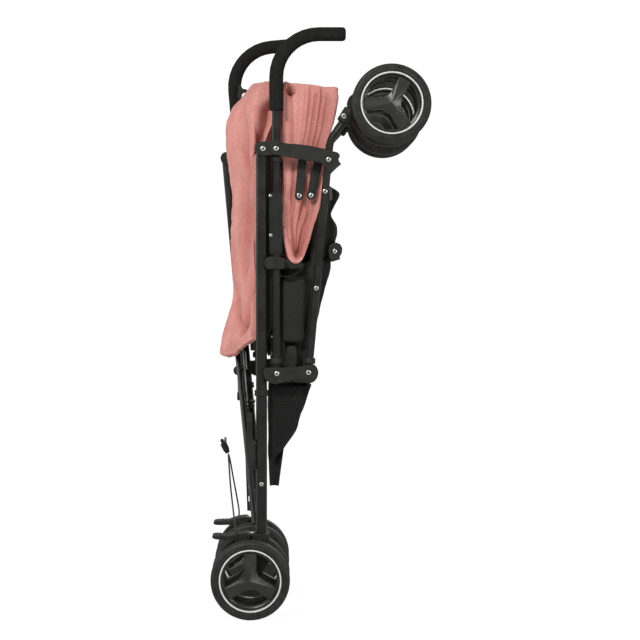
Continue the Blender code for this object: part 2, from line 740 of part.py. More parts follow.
def caster_fork(side, group, materials):
    base = swivel_foot(side) + stem_axis() * (SWIVEL_HEIGHT + CLEARANCE)
    centre = base + stem_axis() * FORK_TOP_RADIUS
    wheel = caster_axle(side)
    reach = wheel - centre
    heading = math.degrees(math.atan2(reach.z, reach.x))
    outline = arc(wheel.x, wheel.z, FORK_AXLE_RADIUS, heading - 85, heading + 85, 8)
    outline += arc(centre.x, centre.z, FORK_TOP_RADIUS, heading + 90, heading + 270, 10)
    y = across(side, 0)
    bm = prism(outline, y - FORK_HALF_WIDTH, y + FORK_HALF_WIDTH)
    body = finish(side["name"] + "_caster_fork", bm, group, materials["plastic"])
    stem_end = base - stem_axis() * STEM_LENGTH
    stem_root = base + stem_axis() * FORK_TOP_RADIUS
    stem = finish(side["name"] + "_stem", rod(stem_end, stem_root, STEM_RADIUS, 12), group,
                  materials["steel"], False)
    combine(body, stem, "UNION")
    bore(side["name"] + "_fork_bore", (wheel.x, y - CUT_MARGIN * 2, wheel.z),
         (wheel.x, y + CUT_MARGIN * 2, wheel.z), AXLE_RADIUS + CLEARANCE, body, group,
         materials["plastic"], 12)
    return body


def leg_rest_x():
    return (TUBE_X + FRONT_PIVOT_X) / 2 + LEG_REST_FORWARD


# Leg rest arms: a padded arm on a round boss, just inboard of the tubes. It ends under the clip.
def leg_rest(side, group, material):
    boss_x = leg_rest_x()
    boss_z = LOWER_Z + LEG_REST_BOSS_HEIGHT
    stub_half = LEG_REST_STUB_WIDTH / 2
    shoulder = boss_z + LEG_REST_STUB
    left = boss_x - LEG_REST_WIDTH / 2
    right = boss_x + LEG_REST_WIDTH / 2
    top = CLIP_Z - CLIP_HEIGHT - LEG_REST_GAP
    outline = arc(boss_x, boss_z, LEG_REST_BOSS_RADIUS, 225, 315, 6)
    outline += [(boss_x + stub_half, shoulder), (right, shoulder), (right, top - 0.02),
                (right - 0.006, top), (left + 0.006, top), (left, top - 0.02),
                (left, shoulder), (boss_x - stub_half, shoulder)]
    inner = HANDLE_TUBE_RADIUS + SIDE_GAP
    ys = sorted((across(side, -inner), across(side, -inner - LEG_REST_DEPTH)))
    body = finish(side["name"] + "_leg_rest", prism(outline, *ys), group, material)
    round_edges(body, 0.003, 2)
    return body


# The two braces of a pair lie in planes this far either side of their middle.
def brace_shift():
    return BRACE_RADIUS + BRACE_PLANE_GAP


# Cross braces: each starts beside its own leg and ends short of the other one.
def brace_ends(side, other, foot_x, tube_radius, foot_z, length, plane_shift):
    inset = tube_radius + BRACE_RADIUS + SIDE_GAP
    start = side["frame"] @ Vector((foot_x + plane_shift, across(side, -inset), foot_z))
    end_y = across(other, -inset - BRACE_OPEN_END_GAP)
    rise = math.sqrt(length ** 2 - (end_y - start.y) ** 2)
    guide = other["frame"] @ Vector((foot_x + plane_shift, 0, start.z + rise))
    lean = guide.x - start.x
    rise = math.sqrt(length ** 2 - (end_y - start.y) ** 2 - lean ** 2)
    return start, Vector((guide.x, end_y, start.z + rise))


def brace(name, ends, pivot_frame, material):
    start, end = ends
    local = pivot_frame.inverted() @ start
    group = make_group(name + "_pivot", pivot_frame, local)
    bm = rod(local, pivot_frame.inverted() @ end, BRACE_RADIUS, 12)
    return finish(name, bm, group, material)


# Cloth: each piece is a stack of rings between the side frames.

def between(low, high, share):
    return low + (high - low) * share


def pleat(t, count, depth):
    return depth * 0.5 * (1 - math.cos(math.tau * count * t))


# One level of a folded bag: x from back to front, y between the frames, pleats all round.
def bag_ring(back, front, y0, y1, z, side_pleats, front_pleats, depth):
    width = front - back
    depth = min(depth, width * 0.2)
    count = 10
    ring = []
    for i in range(count):
        t = i / count
        ring.append((back + width * t, y0 + pleat(t, side_pleats, depth), z))
    for i in range(count):
        t = i / count
        ring.append((front - pleat(t, front_pleats, depth), y0 + (y1 - y0) * t, z))
    for i in range(count):
        t = i / count
        ring.append((front - width * t, y1 - pleat(t, side_pleats, depth), z))
    for i in range(4):
        t = i / 4
        ring.append((back, y1 - (y1 - y0) * t, z))
    return ring


# The left frame leans back, and the cloth hung between the frames follows it part of the way.
def leaned(ring):
    slope = math.tan(math.radians(LEFT_LEAN)) * CLOTH_LEAN_SHARE
    return [(x + slope * (z - AXLE_Z) * (y / SIDE_SPACING) ** 2, y, z) for x, y, z in ring]


def cloth_span():
    inset = max(UPPER_BRACKET_HALF_WIDTH, LOWER_BRACKET_HALF_WIDTH, GRIP_RADIUS) + SIDE_GAP
    return inset, SIDE_SPACING - inset


# The flap hangs behind the frames, from beside the right rear leg to outside the left one.
def hood_back(group, material):
    y0, y1 = cloth_span()
    near_x = LEG_X - HOOD_HALF_DEPTH
    levels = [
        # height, right edge back from near_x, left edge back from near_x, thickness
        (FLAP_HEM, 0.012, FLAP_REACH + 0.012, 0.008),
        (FLAP_HEM + 0.030, 0.006, FLAP_REACH + 0.006, 0.011),
        (between(FLAP_HEM, UPPER_Z, 0.28), 0.004, FLAP_REACH - 0.012, 0.014),
        (between(FLAP_HEM, UPPER_Z, 0.56), 0.006, FLAP_REACH - 0.006, 0.014),
        (between(FLAP_HEM, UPPER_Z, 0.84), 0.006, FLAP_REACH - 0.001, 0.014),
        (between(UPPER_Z, HOOD_TOP, 0.04), 0.004, FLAP_REACH - 0.002, 0.018),
        (between(UPPER_Z, HOOD_TOP, 0.16), -0.024, FLAP_REACH - 0.004, 0.022),
        (between(UPPER_Z, HOOD_TOP, 0.35), -0.028, FLAP_REACH - 0.010, 0.026),
        (between(UPPER_Z, HOOD_TOP, 0.67), -0.026, FLAP_REACH - 0.018, 0.032),
        (between(UPPER_Z, HOOD_TOP, 0.89), -0.028, FLAP_REACH - 0.036, 0.028),
        (HOOD_TOP, -0.034, FLAP_REACH - 0.052, 0.016),
    ]
    count = 14
    rings = []
    for z, right_back, left_back, thickness in levels:
        slant = FLAP_HEM_SLANT if z == FLAP_HEM else 0
        front_row = []
        back_row = []
        for i in range(count + 1):
            t = i / count
            x = near_x - right_back - (left_back - right_back) * t
            wave = FOLD_DEPTH * 0.6 * math.sin(math.tau * 2.5 * t)
            half = thickness * (0.5 - 0.2 * t)
            y = y0 + (y1 - y0) * t
            front_row.append((x + half + wave, y, z + slant * t))
            back_row.append((x - half + wave, y, z + slant * t))
        rings.append(front_row + back_row[::-1])
    return finish("hood_back", stacked(rings), group, material)


def hood_front(group, material):
    y0, y1 = cloth_span()
    back = TUBE_X + brace_shift() + BRACE_RADIUS + SIDE_GAP
    levels = [
        # height, front edge ahead of the back edge, inset of the back edge
        (HOOD_TIP, 0.036, 0.014), (between(HOOD_TIP, UPPER_Z, 0.20), 0.050, 0.006),
        (between(HOOD_TIP, UPPER_Z, 0.55), 0.068, 0.0),
        (between(HOOD_TIP, UPPER_Z, 0.81), 0.071, 0.0), (UPPER_Z - 0.003, 0.074, 0.0),
        (between(UPPER_Z, HOOD_TOP, 0.27), 0.081, 0.0),
        (between(UPPER_Z, HOOD_TOP, 0.62), 0.090, 0.0),
        (between(UPPER_Z, HOOD_TOP, 0.83), 0.094, 0.0), (HOOD_TOP - 0.010, 0.084, 0.004),
        (HOOD_TOP, 0.046, 0.010),
    ]
    rings = [leaned(bag_ring(back + inset, back + ahead, y0, y1, z, 3, 4, FOLD_DEPTH))
             for z, ahead, inset in levels]
    return finish("hood_front", stacked(rings), group, material)


# The seat hangs between the leg rest arms, and bulges out ahead of the front legs.
def seat_cloth(group, material):
    inset = HANDLE_TUBE_RADIUS + SIDE_GAP + LEG_REST_DEPTH + SIDE_GAP
    levels = [
        # height, back edge, front edge, both ahead of the front leg's lower pivot
        (SEAT_BOTTOM, -0.040, 0.009), (between(SEAT_BOTTOM, HOOD_TIP, 0.20), -0.044, 0.013),
        (between(SEAT_BOTTOM, HOOD_TIP, 0.51), -0.044, 0.022),
        (between(SEAT_BOTTOM, HOOD_TIP, 0.80), -0.044, 0.036),
        (between(SEAT_BOTTOM, HOOD_TIP, 0.86), -0.036, 0.040),
        (between(SEAT_BOTTOM, HOOD_TIP, 0.96), -0.004, 0.044),
        (between(HOOD_TIP, SEAT_TOP, 0.24), 0.009, 0.053),
        (between(HOOD_TIP, SEAT_TOP, 0.48), 0.015, 0.050),
        (between(HOOD_TIP, SEAT_TOP, 0.63), 0.019, 0.041),
        (between(HOOD_TIP, SEAT_TOP, 0.88), 0.025, 0.056), (SEAT_TOP, 0.028, 0.044),
    ]
    y0, y1 = inset, SIDE_SPACING - inset
    rings = [leaned(bag_ring(FRONT_PIVOT_X + a, FRONT_PIVOT_X + b, y0, y1, z, 2, 5, FOLD_DEPTH))
             for z, a, b in levels]
    return finish("seat_cloth", stacked(rings), group, material)


def basket(group, material):
    y0, y1 = cloth_span()
    back = LEG_X + REAR_LEG_RADIUS + SIDE_GAP
    levels = [
        # share of the depth below the rim, front edge ahead of the rear leg's front
        (1.0, 0.012), (0.78, 0.032), (0.57, 0.053), (0.37, 0.058), (0.18, 0.064), (0.0, 0.081),
    ]
    rings = [bag_ring(back, back + ahead, y0, y1, BASKET_TOP - BASKET_DEPTH * share, 2, 4,
                      FOLD_DEPTH) for share, ahead in levels]
    return finish("basket", stacked(rings), group, material)


# The brake cable arches from beside one rear wheel block to the other, past the outer sides of
# the pedals. A joiner sits on its crown.
def cable_route():
    foot_x, foot_z = LEG_X - 0.043, AXLE_Z + BLOCK_TOP
    middle = SIDE_SPACING / 2
    beside = -BLOCK_HALF_WIDTH - CABLE_RADIUS - CLEARANCE
    crown = Vector((foot_x - 0.021, middle, foot_z + 0.132))
    right = [Vector((foot_x + 0.020, beside, foot_z - 0.042)),
             Vector((foot_x, beside, foot_z - 0.016)),
             Vector((foot_x - 0.004, beside + 0.002, foot_z + 0.008)),
             Vector((foot_x - 0.0095, beside + 0.021, foot_z + 0.046)),
             Vector((foot_x - 0.0145, beside + 0.046, foot_z + 0.080)),
             Vector((foot_x - 0.0185, beside + 0.083, foot_z + 0.114))]
    left = [Vector((p.x, SIDE_SPACING - p.y, p.z)) for p in right[::-1]]
    left[-1].x = left[-1].x - 0.0036
    left[-2].x = left[-2].x - 0.0030
    return right + [crown] + left


def brake_cable(group, materials):
    points = smooth_through(cable_route(), 4)
    body = swept("brake_cable", points, CABLE_RADIUS, group, materials["wire"], 2)
    crown = cable_route()[6]
    lean = Vector((-0.42, 0, 0.91)).normalized()
    foot = crown + lean * (CABLE_RADIUS + 0.0012)
    radius = JOINER_RADIUS
    length = JOINER_LENGTH
    profile = [(0, 0), (radius * 0.6, 0), (radius, length * 0.25), (radius, length * 0.68),
               (radius * 0.55, length * 0.72), (radius * 0.55, length * 0.92), (0, length)]
    finish("cable_joiner", turned(profile, foot, lean, 12, False), group,
           materials["plastic"])
    return body


# Assembly

def build_side(side, materials):
    name = side["name"]
    frame = side["frame"]
    leg = side["leg"]
    y = side["plane"]
    frame_group = make_group(name + "_frame", frame, (TUBE_X, y, UPPER_Z))
    handle_tube(side, frame_group, materials["tube"])
    grip(side, frame_group, materials["foam"])
    upper_bracket(side, frame_group, materials["plastic"])
    hood_clip(side, frame_group, materials["plastic"])

    rear_group = make_group(name + "_rear_leg_pivot", frame, (LEG_X, y, UPPER_Z))
    rear_leg(side, rear_group, materials["tube"])
    rear_block(side, rear_group, materials)
    axle(side, "rear", rear_group, REAR_AXLE_X, AXLE_Z, materials["steel"])
    pedal_x, pedal_z = pedal_pivot()
    pedal_group = make_group(name + "_brake_pivot", frame, (pedal_x, y, pedal_z))
    brake_pedal(side, pedal_group, materials["plastic"])
    twin_wheels(side, "rear", frame, REAR_AXLE_X, AXLE_Z, REAR_WHEEL_TURN, materials)

    link_group = make_group(name + "_link_pivot", frame, (TUBE_X, y, LOWER_Z))
    lower_bracket(side, link_group, materials["plastic"])
    boss = (leg_rest_x(), y, LOWER_Z + LEG_REST_BOSS_HEIGHT)
    rest_group = make_group(name + "_leg_rest_pivot", frame, boss)
    leg_rest(side, rest_group, materials["black_cloth"])

    leg_group = make_group(name + "_front_leg_pivot", leg, (FRONT_PIVOT_X, y, LOWER_Z))
    leg_bar = bent_bar(front_leg_line(side), FRONT_LEG_RADIUS)
    finish(name + "_front_leg", leg_bar, leg_group, materials["tube"])
    swivel_block(side, leg_group, materials["plastic"])
    swivel_group = make_group(name + "_swivel_axis", leg, swivel_foot(side))
    caster_fork(side, swivel_group, materials)
    wheel = caster_axle(side)
    axle(side, "front", swivel_group, wheel.x, wheel.z, materials["steel"])
    twin_wheels(side, "front", leg, wheel.x, wheel.z, FRONT_WHEEL_TURN, materials)

    hood_pivot = (TUBE_X + BOW_PIVOT_REACH, y, CLIP_Z - CLIP_HEIGHT / 2)
    front_bow = make_group(name + "_front_bow_pivot", frame, hood_pivot)
    bow_blade(side, "front", TUBE_X + FRONT_BLADE_REACH, FRONT_BLADE_LEAN, front_bow,
              materials["plastic"])
    rear_bow = make_group(name + "_rear_bow_pivot", frame, hood_pivot)
    bow_blade(side, "rear", TUBE_X + REAR_BLADE_REACH, REAR_BLADE_LEAN, rear_bow,
              materials["plastic"])
    return {"frame": frame_group, "rear": rear_group}


def build_braces(right, left, material):
    shift = brace_shift()
    rear_foot = AXLE_Z + BLOCK_TOP + REAR_BRACE_FOOT
    pairs = (("rear", LEG_X - shift, REAR_LEG_RADIUS, rear_foot, REAR_BRACE_LENGTH),
             ("back", TUBE_X, HANDLE_TUBE_RADIUS, LOWER_Z + BACK_BRACE_FOOT,
              BACK_BRACE_LENGTH))
    for label, x, radius, z, length in pairs:
        ends = brace_ends(right, left, x, radius, z, length, -shift)
        brace(f"right_{label}_brace", ends, right["frame"], material)
        ends = brace_ends(left, right, x, radius, z, length, shift)
        brace(f"left_{label}_brace", ends, left["frame"], material)


def build():
    clear_scene()
    materials = make_materials()
    upright = Matrix.Identity(4)
    right = make_side("right", 0.0, -1, upright, upright)
    left = make_side("left", SIDE_SPACING, 1, left_frame_matrix(), left_leg_matrix())
    right_groups = build_side(right, materials)
    build_side(left, materials)
    build_braces(right, left, materials["tube"])

    lock_group = make_group("transport_lock_pivot", upright, (TUBE_X, 0, UPPER_Z))
    transport_lock(right, lock_group, materials["plastic"])
    foot_x, foot_z = fold_lock_pivot()
    fold_group = make_group("fold_lock_pivot", upright, (foot_x, 0, foot_z))
    fold_lock(right, fold_group, materials["plastic"])

    hood_back(right_groups["frame"], materials["pink"])
    hood_front(right_groups["frame"], materials["pink"])
    seat_cloth(right_groups["frame"], materials["black_cloth"])
    basket(right_groups["rear"], materials["mesh"])
    brake_cable(right_groups["rear"], materials)


build()
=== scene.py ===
import json
import math
import random

import bpy
from mathutils import Matrix, Vector, noise

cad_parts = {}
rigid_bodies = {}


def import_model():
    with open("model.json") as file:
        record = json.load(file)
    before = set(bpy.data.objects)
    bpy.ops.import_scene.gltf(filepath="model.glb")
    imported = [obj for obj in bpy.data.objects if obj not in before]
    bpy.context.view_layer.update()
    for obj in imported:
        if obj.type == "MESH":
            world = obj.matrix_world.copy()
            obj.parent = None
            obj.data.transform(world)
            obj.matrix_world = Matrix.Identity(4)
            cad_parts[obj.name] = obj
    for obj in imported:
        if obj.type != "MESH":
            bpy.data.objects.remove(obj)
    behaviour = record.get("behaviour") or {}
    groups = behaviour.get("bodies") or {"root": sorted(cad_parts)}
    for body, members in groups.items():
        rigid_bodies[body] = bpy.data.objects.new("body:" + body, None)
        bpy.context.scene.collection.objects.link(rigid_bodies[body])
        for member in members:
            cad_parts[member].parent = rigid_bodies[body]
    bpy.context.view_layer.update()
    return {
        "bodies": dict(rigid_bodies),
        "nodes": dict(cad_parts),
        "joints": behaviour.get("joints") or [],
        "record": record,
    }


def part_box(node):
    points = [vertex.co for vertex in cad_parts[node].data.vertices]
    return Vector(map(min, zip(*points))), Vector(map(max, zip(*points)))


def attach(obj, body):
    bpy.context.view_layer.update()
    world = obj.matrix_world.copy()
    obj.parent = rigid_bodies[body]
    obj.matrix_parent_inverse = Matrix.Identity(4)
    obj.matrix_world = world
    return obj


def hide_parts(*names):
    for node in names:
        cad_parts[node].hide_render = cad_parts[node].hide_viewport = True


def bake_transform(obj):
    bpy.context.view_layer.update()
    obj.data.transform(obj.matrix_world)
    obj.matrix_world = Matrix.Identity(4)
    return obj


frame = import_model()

# A folded lightweight stroller. Lengths are metres; +X is its front, +Y its left, +Z up.
# Pieces are drawn in side coordinates, from the floor under the rear wheels and the middle
# of the right side frame, and then moved to where the frame hangs from its handle.
nodes = frame["nodes"]
hook = Vector((0.098, 0.0, 1.0525))
axle = {"x": -0.052, "z": 0.072}
spacing = 0.195
legX, tubeX, frontX = -0.032, -0.005, 0.054
upperZ, lowerZ = 0.855, 0.443
leanAngle = math.radians(-5.13)  # of the left side frame, about the rear axle

toWorld = Matrix.Translation(-hook)
axleSpot = Matrix.Translation((axle["x"], 0, axle["z"]))
leftLean = axleSpot @ Matrix.Rotation(leanAngle, 4, "Y") @ axleSpot.inverted()
frontPivot = Vector((frontX, 0, lowerZ))
leftLegTurn = Matrix.Rotation(math.radians(4.2), 4, "Y")
leftLeg = Matrix.Translation(leftLean @ frontPivot) @ leftLegTurn @ Matrix.Translation(-frontPivot)
sides = {
    "right": {"plane": 0.0, "out": -1, "frame": toWorld.copy(), "leg": toWorld.copy()},
    "left": {"plane": spacing, "out": 1, "frame": toWorld @ leftLean, "leg": toWorld @ leftLeg},
}


def across(side, outward):  # y of a point that far outward of a side's middle plane
    return sides[side]["plane"] + sides[side]["out"] * outward


# Shader nodes

def addNode(tree, kind, inputs=None, **settings):
    node = tree.nodes.new("ShaderNode" + kind)
    for key, value in settings.items():
        setattr(node, key, value)
    for key, value in (inputs or {}).items():
        if isinstance(value, bpy.types.NodeSocket):
            tree.links.new(value, node.inputs[key])
        else:
            node.inputs[key].default_value = value
    return node


def addMath(tree, operation, *values):
    return addNode(tree, "Math", dict(enumerate(values)), operation=operation).outputs[0]


def addRange(tree, value, fromLow=0.0, fromHigh=1.0, low=0.0, high=1.0):
    node = addNode(tree, "MapRange", {"Value": value, "From Min": fromLow, "From Max": fromHigh,
                                      "To Min": low, "To Max": high})
    return node.outputs["Result"]


def addRamp(tree, factor, stops):
    node = addNode(tree, "ValToRGB", {"Fac": factor})
    ramp = node.color_ramp
    while len(ramp.elements) < len(stops):
        ramp.elements.new(0.5)
    for element, (place, color) in zip(ramp.elements, stops):
        element.position = place
        element.color = (*color, 1)
    return node.outputs["Color"]


def addMix(tree, kind, factor, a, b):
    node = addNode(tree, "MixRGB", {"Fac": factor, "Color1": a, "Color2": b}, blend_type=kind)
    return node.outputs["Color"]


def addThing(name, data):
    thing = bpy.data.objects.new(name, data)
    bpy.context.scene.collection.objects.link(thing)
    return thing


# Camera, light and floor
camera = {"place": (-0.098, -2.699, -0.443), "lens": 82.8, "shiftX": 0.0641, "shiftY": -0.058}


def addCamera():
    data = bpy.data.cameras.new("studioCamera")
    data.lens = camera["lens"]
    data.sensor_width = 36
    data.shift_x = camera["shiftX"]
    data.shift_y = camera["shiftY"]
    data.clip_start = 0.05
    thing = addThing("studioCamera", data)
    thing.location = camera["place"]
    thing.rotation_euler = (math.radians(90), 0, 0)
    bpy.context.scene.camera = thing


# world, glossy and backdrop are the world's strength for lighting, for mirrored rays (a share
# of the backdrop) and for the camera; floorClear fades the floor out away from its middle.
light = {
    "world": 0.17, "glossy": 0.32, "backdrop": 1.055, "aim": (-0.05, 0.1, -0.5),
    "panels": (
        ("keyPanel", (-1.25, -2.5, 1.5), 0.7, 78.0),
        ("sidePanel", (-2.4, 0.2, 0.2), 1.4, 16.0),
        ("fillPanel", (2.2, -2.2, 0.2), 1.4, 32.0),
        ("backPanel", (0.9, 2.5, 0.8), 2.0, 34.0),
    ),
    "floor": (-0.1, 0.1, -hook.z - 0.0004), "floorRadius": 7.0,
    "floorClear": (0.3, 2.0, 0.9, 1.0),
}


def addLight():
    world = bpy.data.worlds.new("studio")
    bpy.context.scene.world = world
    world.use_nodes = True
    tree = world.node_tree
    background = tree.nodes["Background"]
    background.inputs["Color"].default_value = (1, 1, 1, 1)
    rays = addNode(tree, "LightPath").outputs
    seen = addMath(tree, "MAXIMUM", rays["Is Camera Ray"], rays["Is Transmission Ray"])
    dimmed = addMath(tree, "MULTIPLY", rays["Is Glossy Ray"], light["glossy"])
    strength = addRange(tree, addMath(tree, "MAXIMUM", seen, dimmed), 0, 1, light["world"],
                        light["backdrop"])
    tree.links.new(strength, background.inputs["Strength"])
    for name, spot, size, power in light["panels"]:
        data = bpy.data.lights.new(name, "AREA")
        data.shape = "DISK"
        data.size = size
        data.energy = power
        thing = addThing(name, data)
        thing.location = spot
        aim = Vector(light["aim"]) - Vector(spot)
        thing.rotation_euler = aim.to_track_quat("-Z", "Y").to_euler()


# White paper that takes the shadow; camera and glossy rays partly see through it, so that
# wheels that swing below it at a pose still show.
def addFloor():
    bpy.ops.object.select_all(action="DESELECT")
    bpy.ops.mesh.primitive_circle_add(vertices=96, radius=light["floorRadius"],
                                      fill_type="NGON", location=light["floor"])
    floor = bpy.context.object
    floor.name = "studioFloor"
    material = bpy.data.materials.new("floorPaper")
    material.use_nodes = True
    tree = material.node_tree
    paper = tree.nodes["Principled BSDF"]
    paper.inputs["Base Color"].default_value = (0.9, 0.9, 0.9, 1)
    paper.inputs["Roughness"].default_value = 0.9
    rays = addNode(tree, "LightPath").outputs
    clear = addNode(tree, "BsdfTransparent")
    coords = addNode(tree, "TexCoord").outputs["Object"]
    away = addNode(tree, "VectorMath", {0: coords}, operation="LENGTH").outputs["Value"]
    reach = addRange(tree, away, *light["floorClear"])
    share = addMath(tree, "MAXIMUM", rays["Is Camera Ray"], rays["Is Glossy Ray"])
    part = addMath(tree, "MULTIPLY", share, reach)
    through = addMath(tree, "MAXIMUM", part, rays["Is Shadow Ray"])
    mix = addNode(tree, "MixShader", {0: through, 1: paper.outputs[0], 2: clear.outputs[0]})
    tree.links.new(mix.outputs[0], tree.nodes["Material Output"].inputs["Surface"])
    floor.data.materials.append(material)


addCamera()
addLight()
addFloor()
print("camera, light and floor are set")


# Materials

def startMaterial(name, metallic=0.0, specular=0.5, sheen=0.0):
    material = bpy.data.materials.new(name)
    material.use_nodes = True
    shader = material.node_tree.nodes["Principled BSDF"]
    shader.inputs["Metallic"].default_value = metallic
    shader.inputs["Specular IOR Level"].default_value = specular
    shader.inputs["Sheen Weight"].default_value = sheen
    shader.inputs["Sheen Roughness"].default_value = 0.5
    return material


def endMaterial(material, color, rough, height, strength, distance):
    tree = material.node_tree
    inputs = tree.nodes["Principled BSDF"].inputs
    bump = addNode(tree, "Bump", {"Height": height, "Strength": strength, "Distance": distance})
    tree.links.new(color, inputs["Base Color"])
    tree.links.new(rough, inputs["Roughness"])
    tree.links.new(bump.outputs["Normal"], inputs["Normal"])
    return material


def addNoise(tree, coords, scale, detail):
    node = addNode(tree, "TexNoise", {"Vector": coords, "Scale": scale, "Detail": detail})
    return node.outputs["Fac"]


# Hard finishes: the dark and light tone, how often the tone drifts, the size of the fine
# surface, its bump, the roughness from low to high, the specular level and the metallic part.
hardFinishes = {
    "tubePaint": ((0.01, 0.0098, 0.0086), (0.017, 0.0168, 0.0148), 35, 1100, 0.06,
                  (0.22, 0.32), 0.28, 0),
    "mouldedPlastic": ((0.012, 0.0119, 0.0102), (0.023, 0.0228, 0.0196), 70, 1600, 0.22,
                       (0.48, 0.68), 0.22, 0),
    "wheelPlastic": ((0.013, 0.0129, 0.0114), (0.022, 0.0218, 0.0194), 60, 1300, 0.12,
                     (0.26, 0.38), 0.5, 0),
    "tyreRubber": ((0.014, 0.0139, 0.0123), (0.028, 0.0278, 0.0246), 90, 2200, 0.2,
                   (0.46, 0.62), 0.25, 0),
    "foamGrip": ((0.009, 0.009, 0.0078), (0.016, 0.016, 0.014), 120, 1900, 0.55,
                 (0.85, 0.97), 0.12, 0),
    "trimWhite": ((0.66, 0.66, 0.64), (0.76, 0.76, 0.74), 80, 1500, 0.05, (0.35, 0.48), 0.4, 0),
    "polishedSteel": ((0.6, 0.6, 0.6), (0.82, 0.82, 0.81), 260, 2600, 0.05, (0.18, 0.32), 0.5, 1),
    # Painted shade: a dark metal for the insides of rivet recesses and pin holes.
    "paintedHoleShade": ((0.05, 0.05, 0.05), (0.12, 0.12, 0.12), 400, 2600, 0.05, (0.35, 0.5), 0.5, 1),
    "cableSheath": ((0.01, 0.01, 0.01), (0.018, 0.018, 0.017), 90, 1800, 0.1, (0.35, 0.5), 0.35, 0),
    "greyTrim": ((0.1, 0.1, 0.098), (0.16, 0.16, 0.155), 120, 1600, 0.15, (0.4, 0.55), 0.35, 0),
}


def hardMaterial(name, dark, light, patchScale, grainScale, bump, rough, specular, metallic):
    material = startMaterial(name, metallic, specular)
    tree = material.node_tree
    coords = addNode(tree, "TexCoord").outputs["Object"]
    patch = addNoise(tree, coords, patchScale, 5.0)
    grain = addNoise(tree, coords, grainScale, 3.0)
    tone = addRamp(tree, patch, ((0.32, dark), (0.7, light)))
    return endMaterial(material, tone, addRange(tree, patch, 0.3, 0.7, *rough), grain, bump,
                       0.00012)


# Cloth: warp and weft are thread spacings in metres on the cloth's own flat map; fold tints the
# painted crease shade.
clothFinishes = {
    "hoodWeave": {"dark": (0.58, 0.218, 0.186), "mid": (0.69, 0.29, 0.248),
                  "light": (0.8, 0.395, 0.352), "fold": (0.6, 0.43, 0.41), "warp": 0.0009,
                  "weft": 0.0011, "bump": 0.5, "rough": 0.92, "sheen": 0.06, "hem": 0.01},
    "seatWeave": {"dark": (0.008, 0.008, 0.0072), "mid": (0.015, 0.0148, 0.0132),
                  "light": (0.028, 0.0276, 0.0248), "fold": (0.42, 0.42, 0.42), "warp": 0.0008,
                  "weft": 0.0008, "bump": 0.5, "rough": 0.86, "sheen": 0.1, "hem": 0.009},
    "strapWeave": {"dark": (0.01, 0.01, 0.0088), "mid": (0.018, 0.0178, 0.0156),
                   "light": (0.03, 0.0296, 0.0262), "fold": (0.6, 0.6, 0.6), "warp": 0.0016,
                   "weft": 0.001, "bump": 0.8, "rough": 0.75, "sheen": 0.05, "hem": 0.002},
}


def clothCoords(tree):
    return addNode(tree, "UVMap", uv_map="clothMap").outputs["UV"]


def threads(tree, coords, spacing, direction):
    wave = addNode(tree, "TexWave", {"Vector": coords, "Scale": math.tau / 20 / spacing},
                   wave_type="BANDS", bands_direction=direction, wave_profile="SIN")
    return wave.outputs["Fac"]


# Two lines of stitches along the lower hem, each a row of short dashes sunk into the cloth.
stitch = {"length": 0.0034, "apart": 0.0045, "half": 0.00045, "shade": 0.55, "sunk": -2.5}


def addStitches(tree, coords, color, hem):
    split = addNode(tree, "SeparateXYZ", {"Vector": coords})
    along, up = split.outputs["X"], split.outputs["Y"]
    wave = addMath(tree, "SINE", addMath(tree, "MULTIPLY", along, math.tau / stitch["length"]))
    dash = addMath(tree, "GREATER_THAN", wave, -0.45)
    line = addMath(tree, "MAXIMUM", *[addMath(tree, "COMPARE", up, height, stitch["half"])
                                      for height in (hem, hem + stitch["apart"])])
    shade = addRange(tree, addMath(tree, "MULTIPLY", line, dash), high=stitch["shade"])
    color = addMix(tree, "MULTIPLY", shade, color, (0.45, 0.4, 0.4, 1))
    return color, addMath(tree, "MULTIPLY", line, stitch["sunk"])


def clothMaterial(name, look):
    material = startMaterial(name, 0.0, 0.25, look["sheen"])
    tree = material.node_tree
    coords = clothCoords(tree)
    weave = addMath(tree, "MULTIPLY", threads(tree, coords, look["warp"], "X"),
                    threads(tree, coords, look["weft"], "Y"))
    slubs = []
    for stretch in ((140, 2600, 1), (1900, 170, 1)):  # thick and thin threads, both ways
        spread = addNode(tree, "Mapping", {"Vector": coords, "Scale": stretch}).outputs[0]
        slubs.append(addNoise(tree, spread, 1.0, 2.0))
    heather = addMath(tree, "ADD", *slubs)
    fleck = addRange(tree, heather, 0.75, 1.25)
    fade = addNoise(tree, coords, 22.0, 3.0)
    half = addMath(tree, "MULTIPLY", addMath(tree, "ADD", fade, fleck), 0.5)
    tone = addRamp(tree, half, ((0.28, look["dark"]), (0.5, look["mid"]), (0.74, look["light"])))
    shade = addRange(tree, weave, low=0.86, high=1.06)
    grey = addNode(tree, "CombineColor", {0: shade, 1: shade, 2: shade}).outputs[0]
    color = addMix(tree, "MULTIPLY", 1.0, tone, grey)
    # Painted shade: creases are darkened towards the fold tint, the more the deeper they press.
    fold = addNode(tree, "Attribute", attribute_name="foldDepth").outputs["Fac"]
    paintedCreaseShade = addRange(tree, fold, 0.001, 0.014, 0.0, 0.72)
    color = addMix(tree, "MULTIPLY", paintedCreaseShade, color, (*look["fold"], 1))
    color, sewn = addStitches(tree, coords, color, look["hem"])
    height = addMath(tree, "ADD", addMath(tree, "ADD", weave, heather), sewn)
    rough = addRange(tree, fleck, low=look["rough"] - 0.08, high=look["rough"])
    return endMaterial(material, color, rough, height, look["bump"], 0.0001)


# gap is the near black painted into the mesh's holes as the shade seen through them.
meshLook = {"hole": 0.0029, "thread": (0.02, 0.02, 0.019), "gap": (0.0012, 0.0012, 0.0012)}
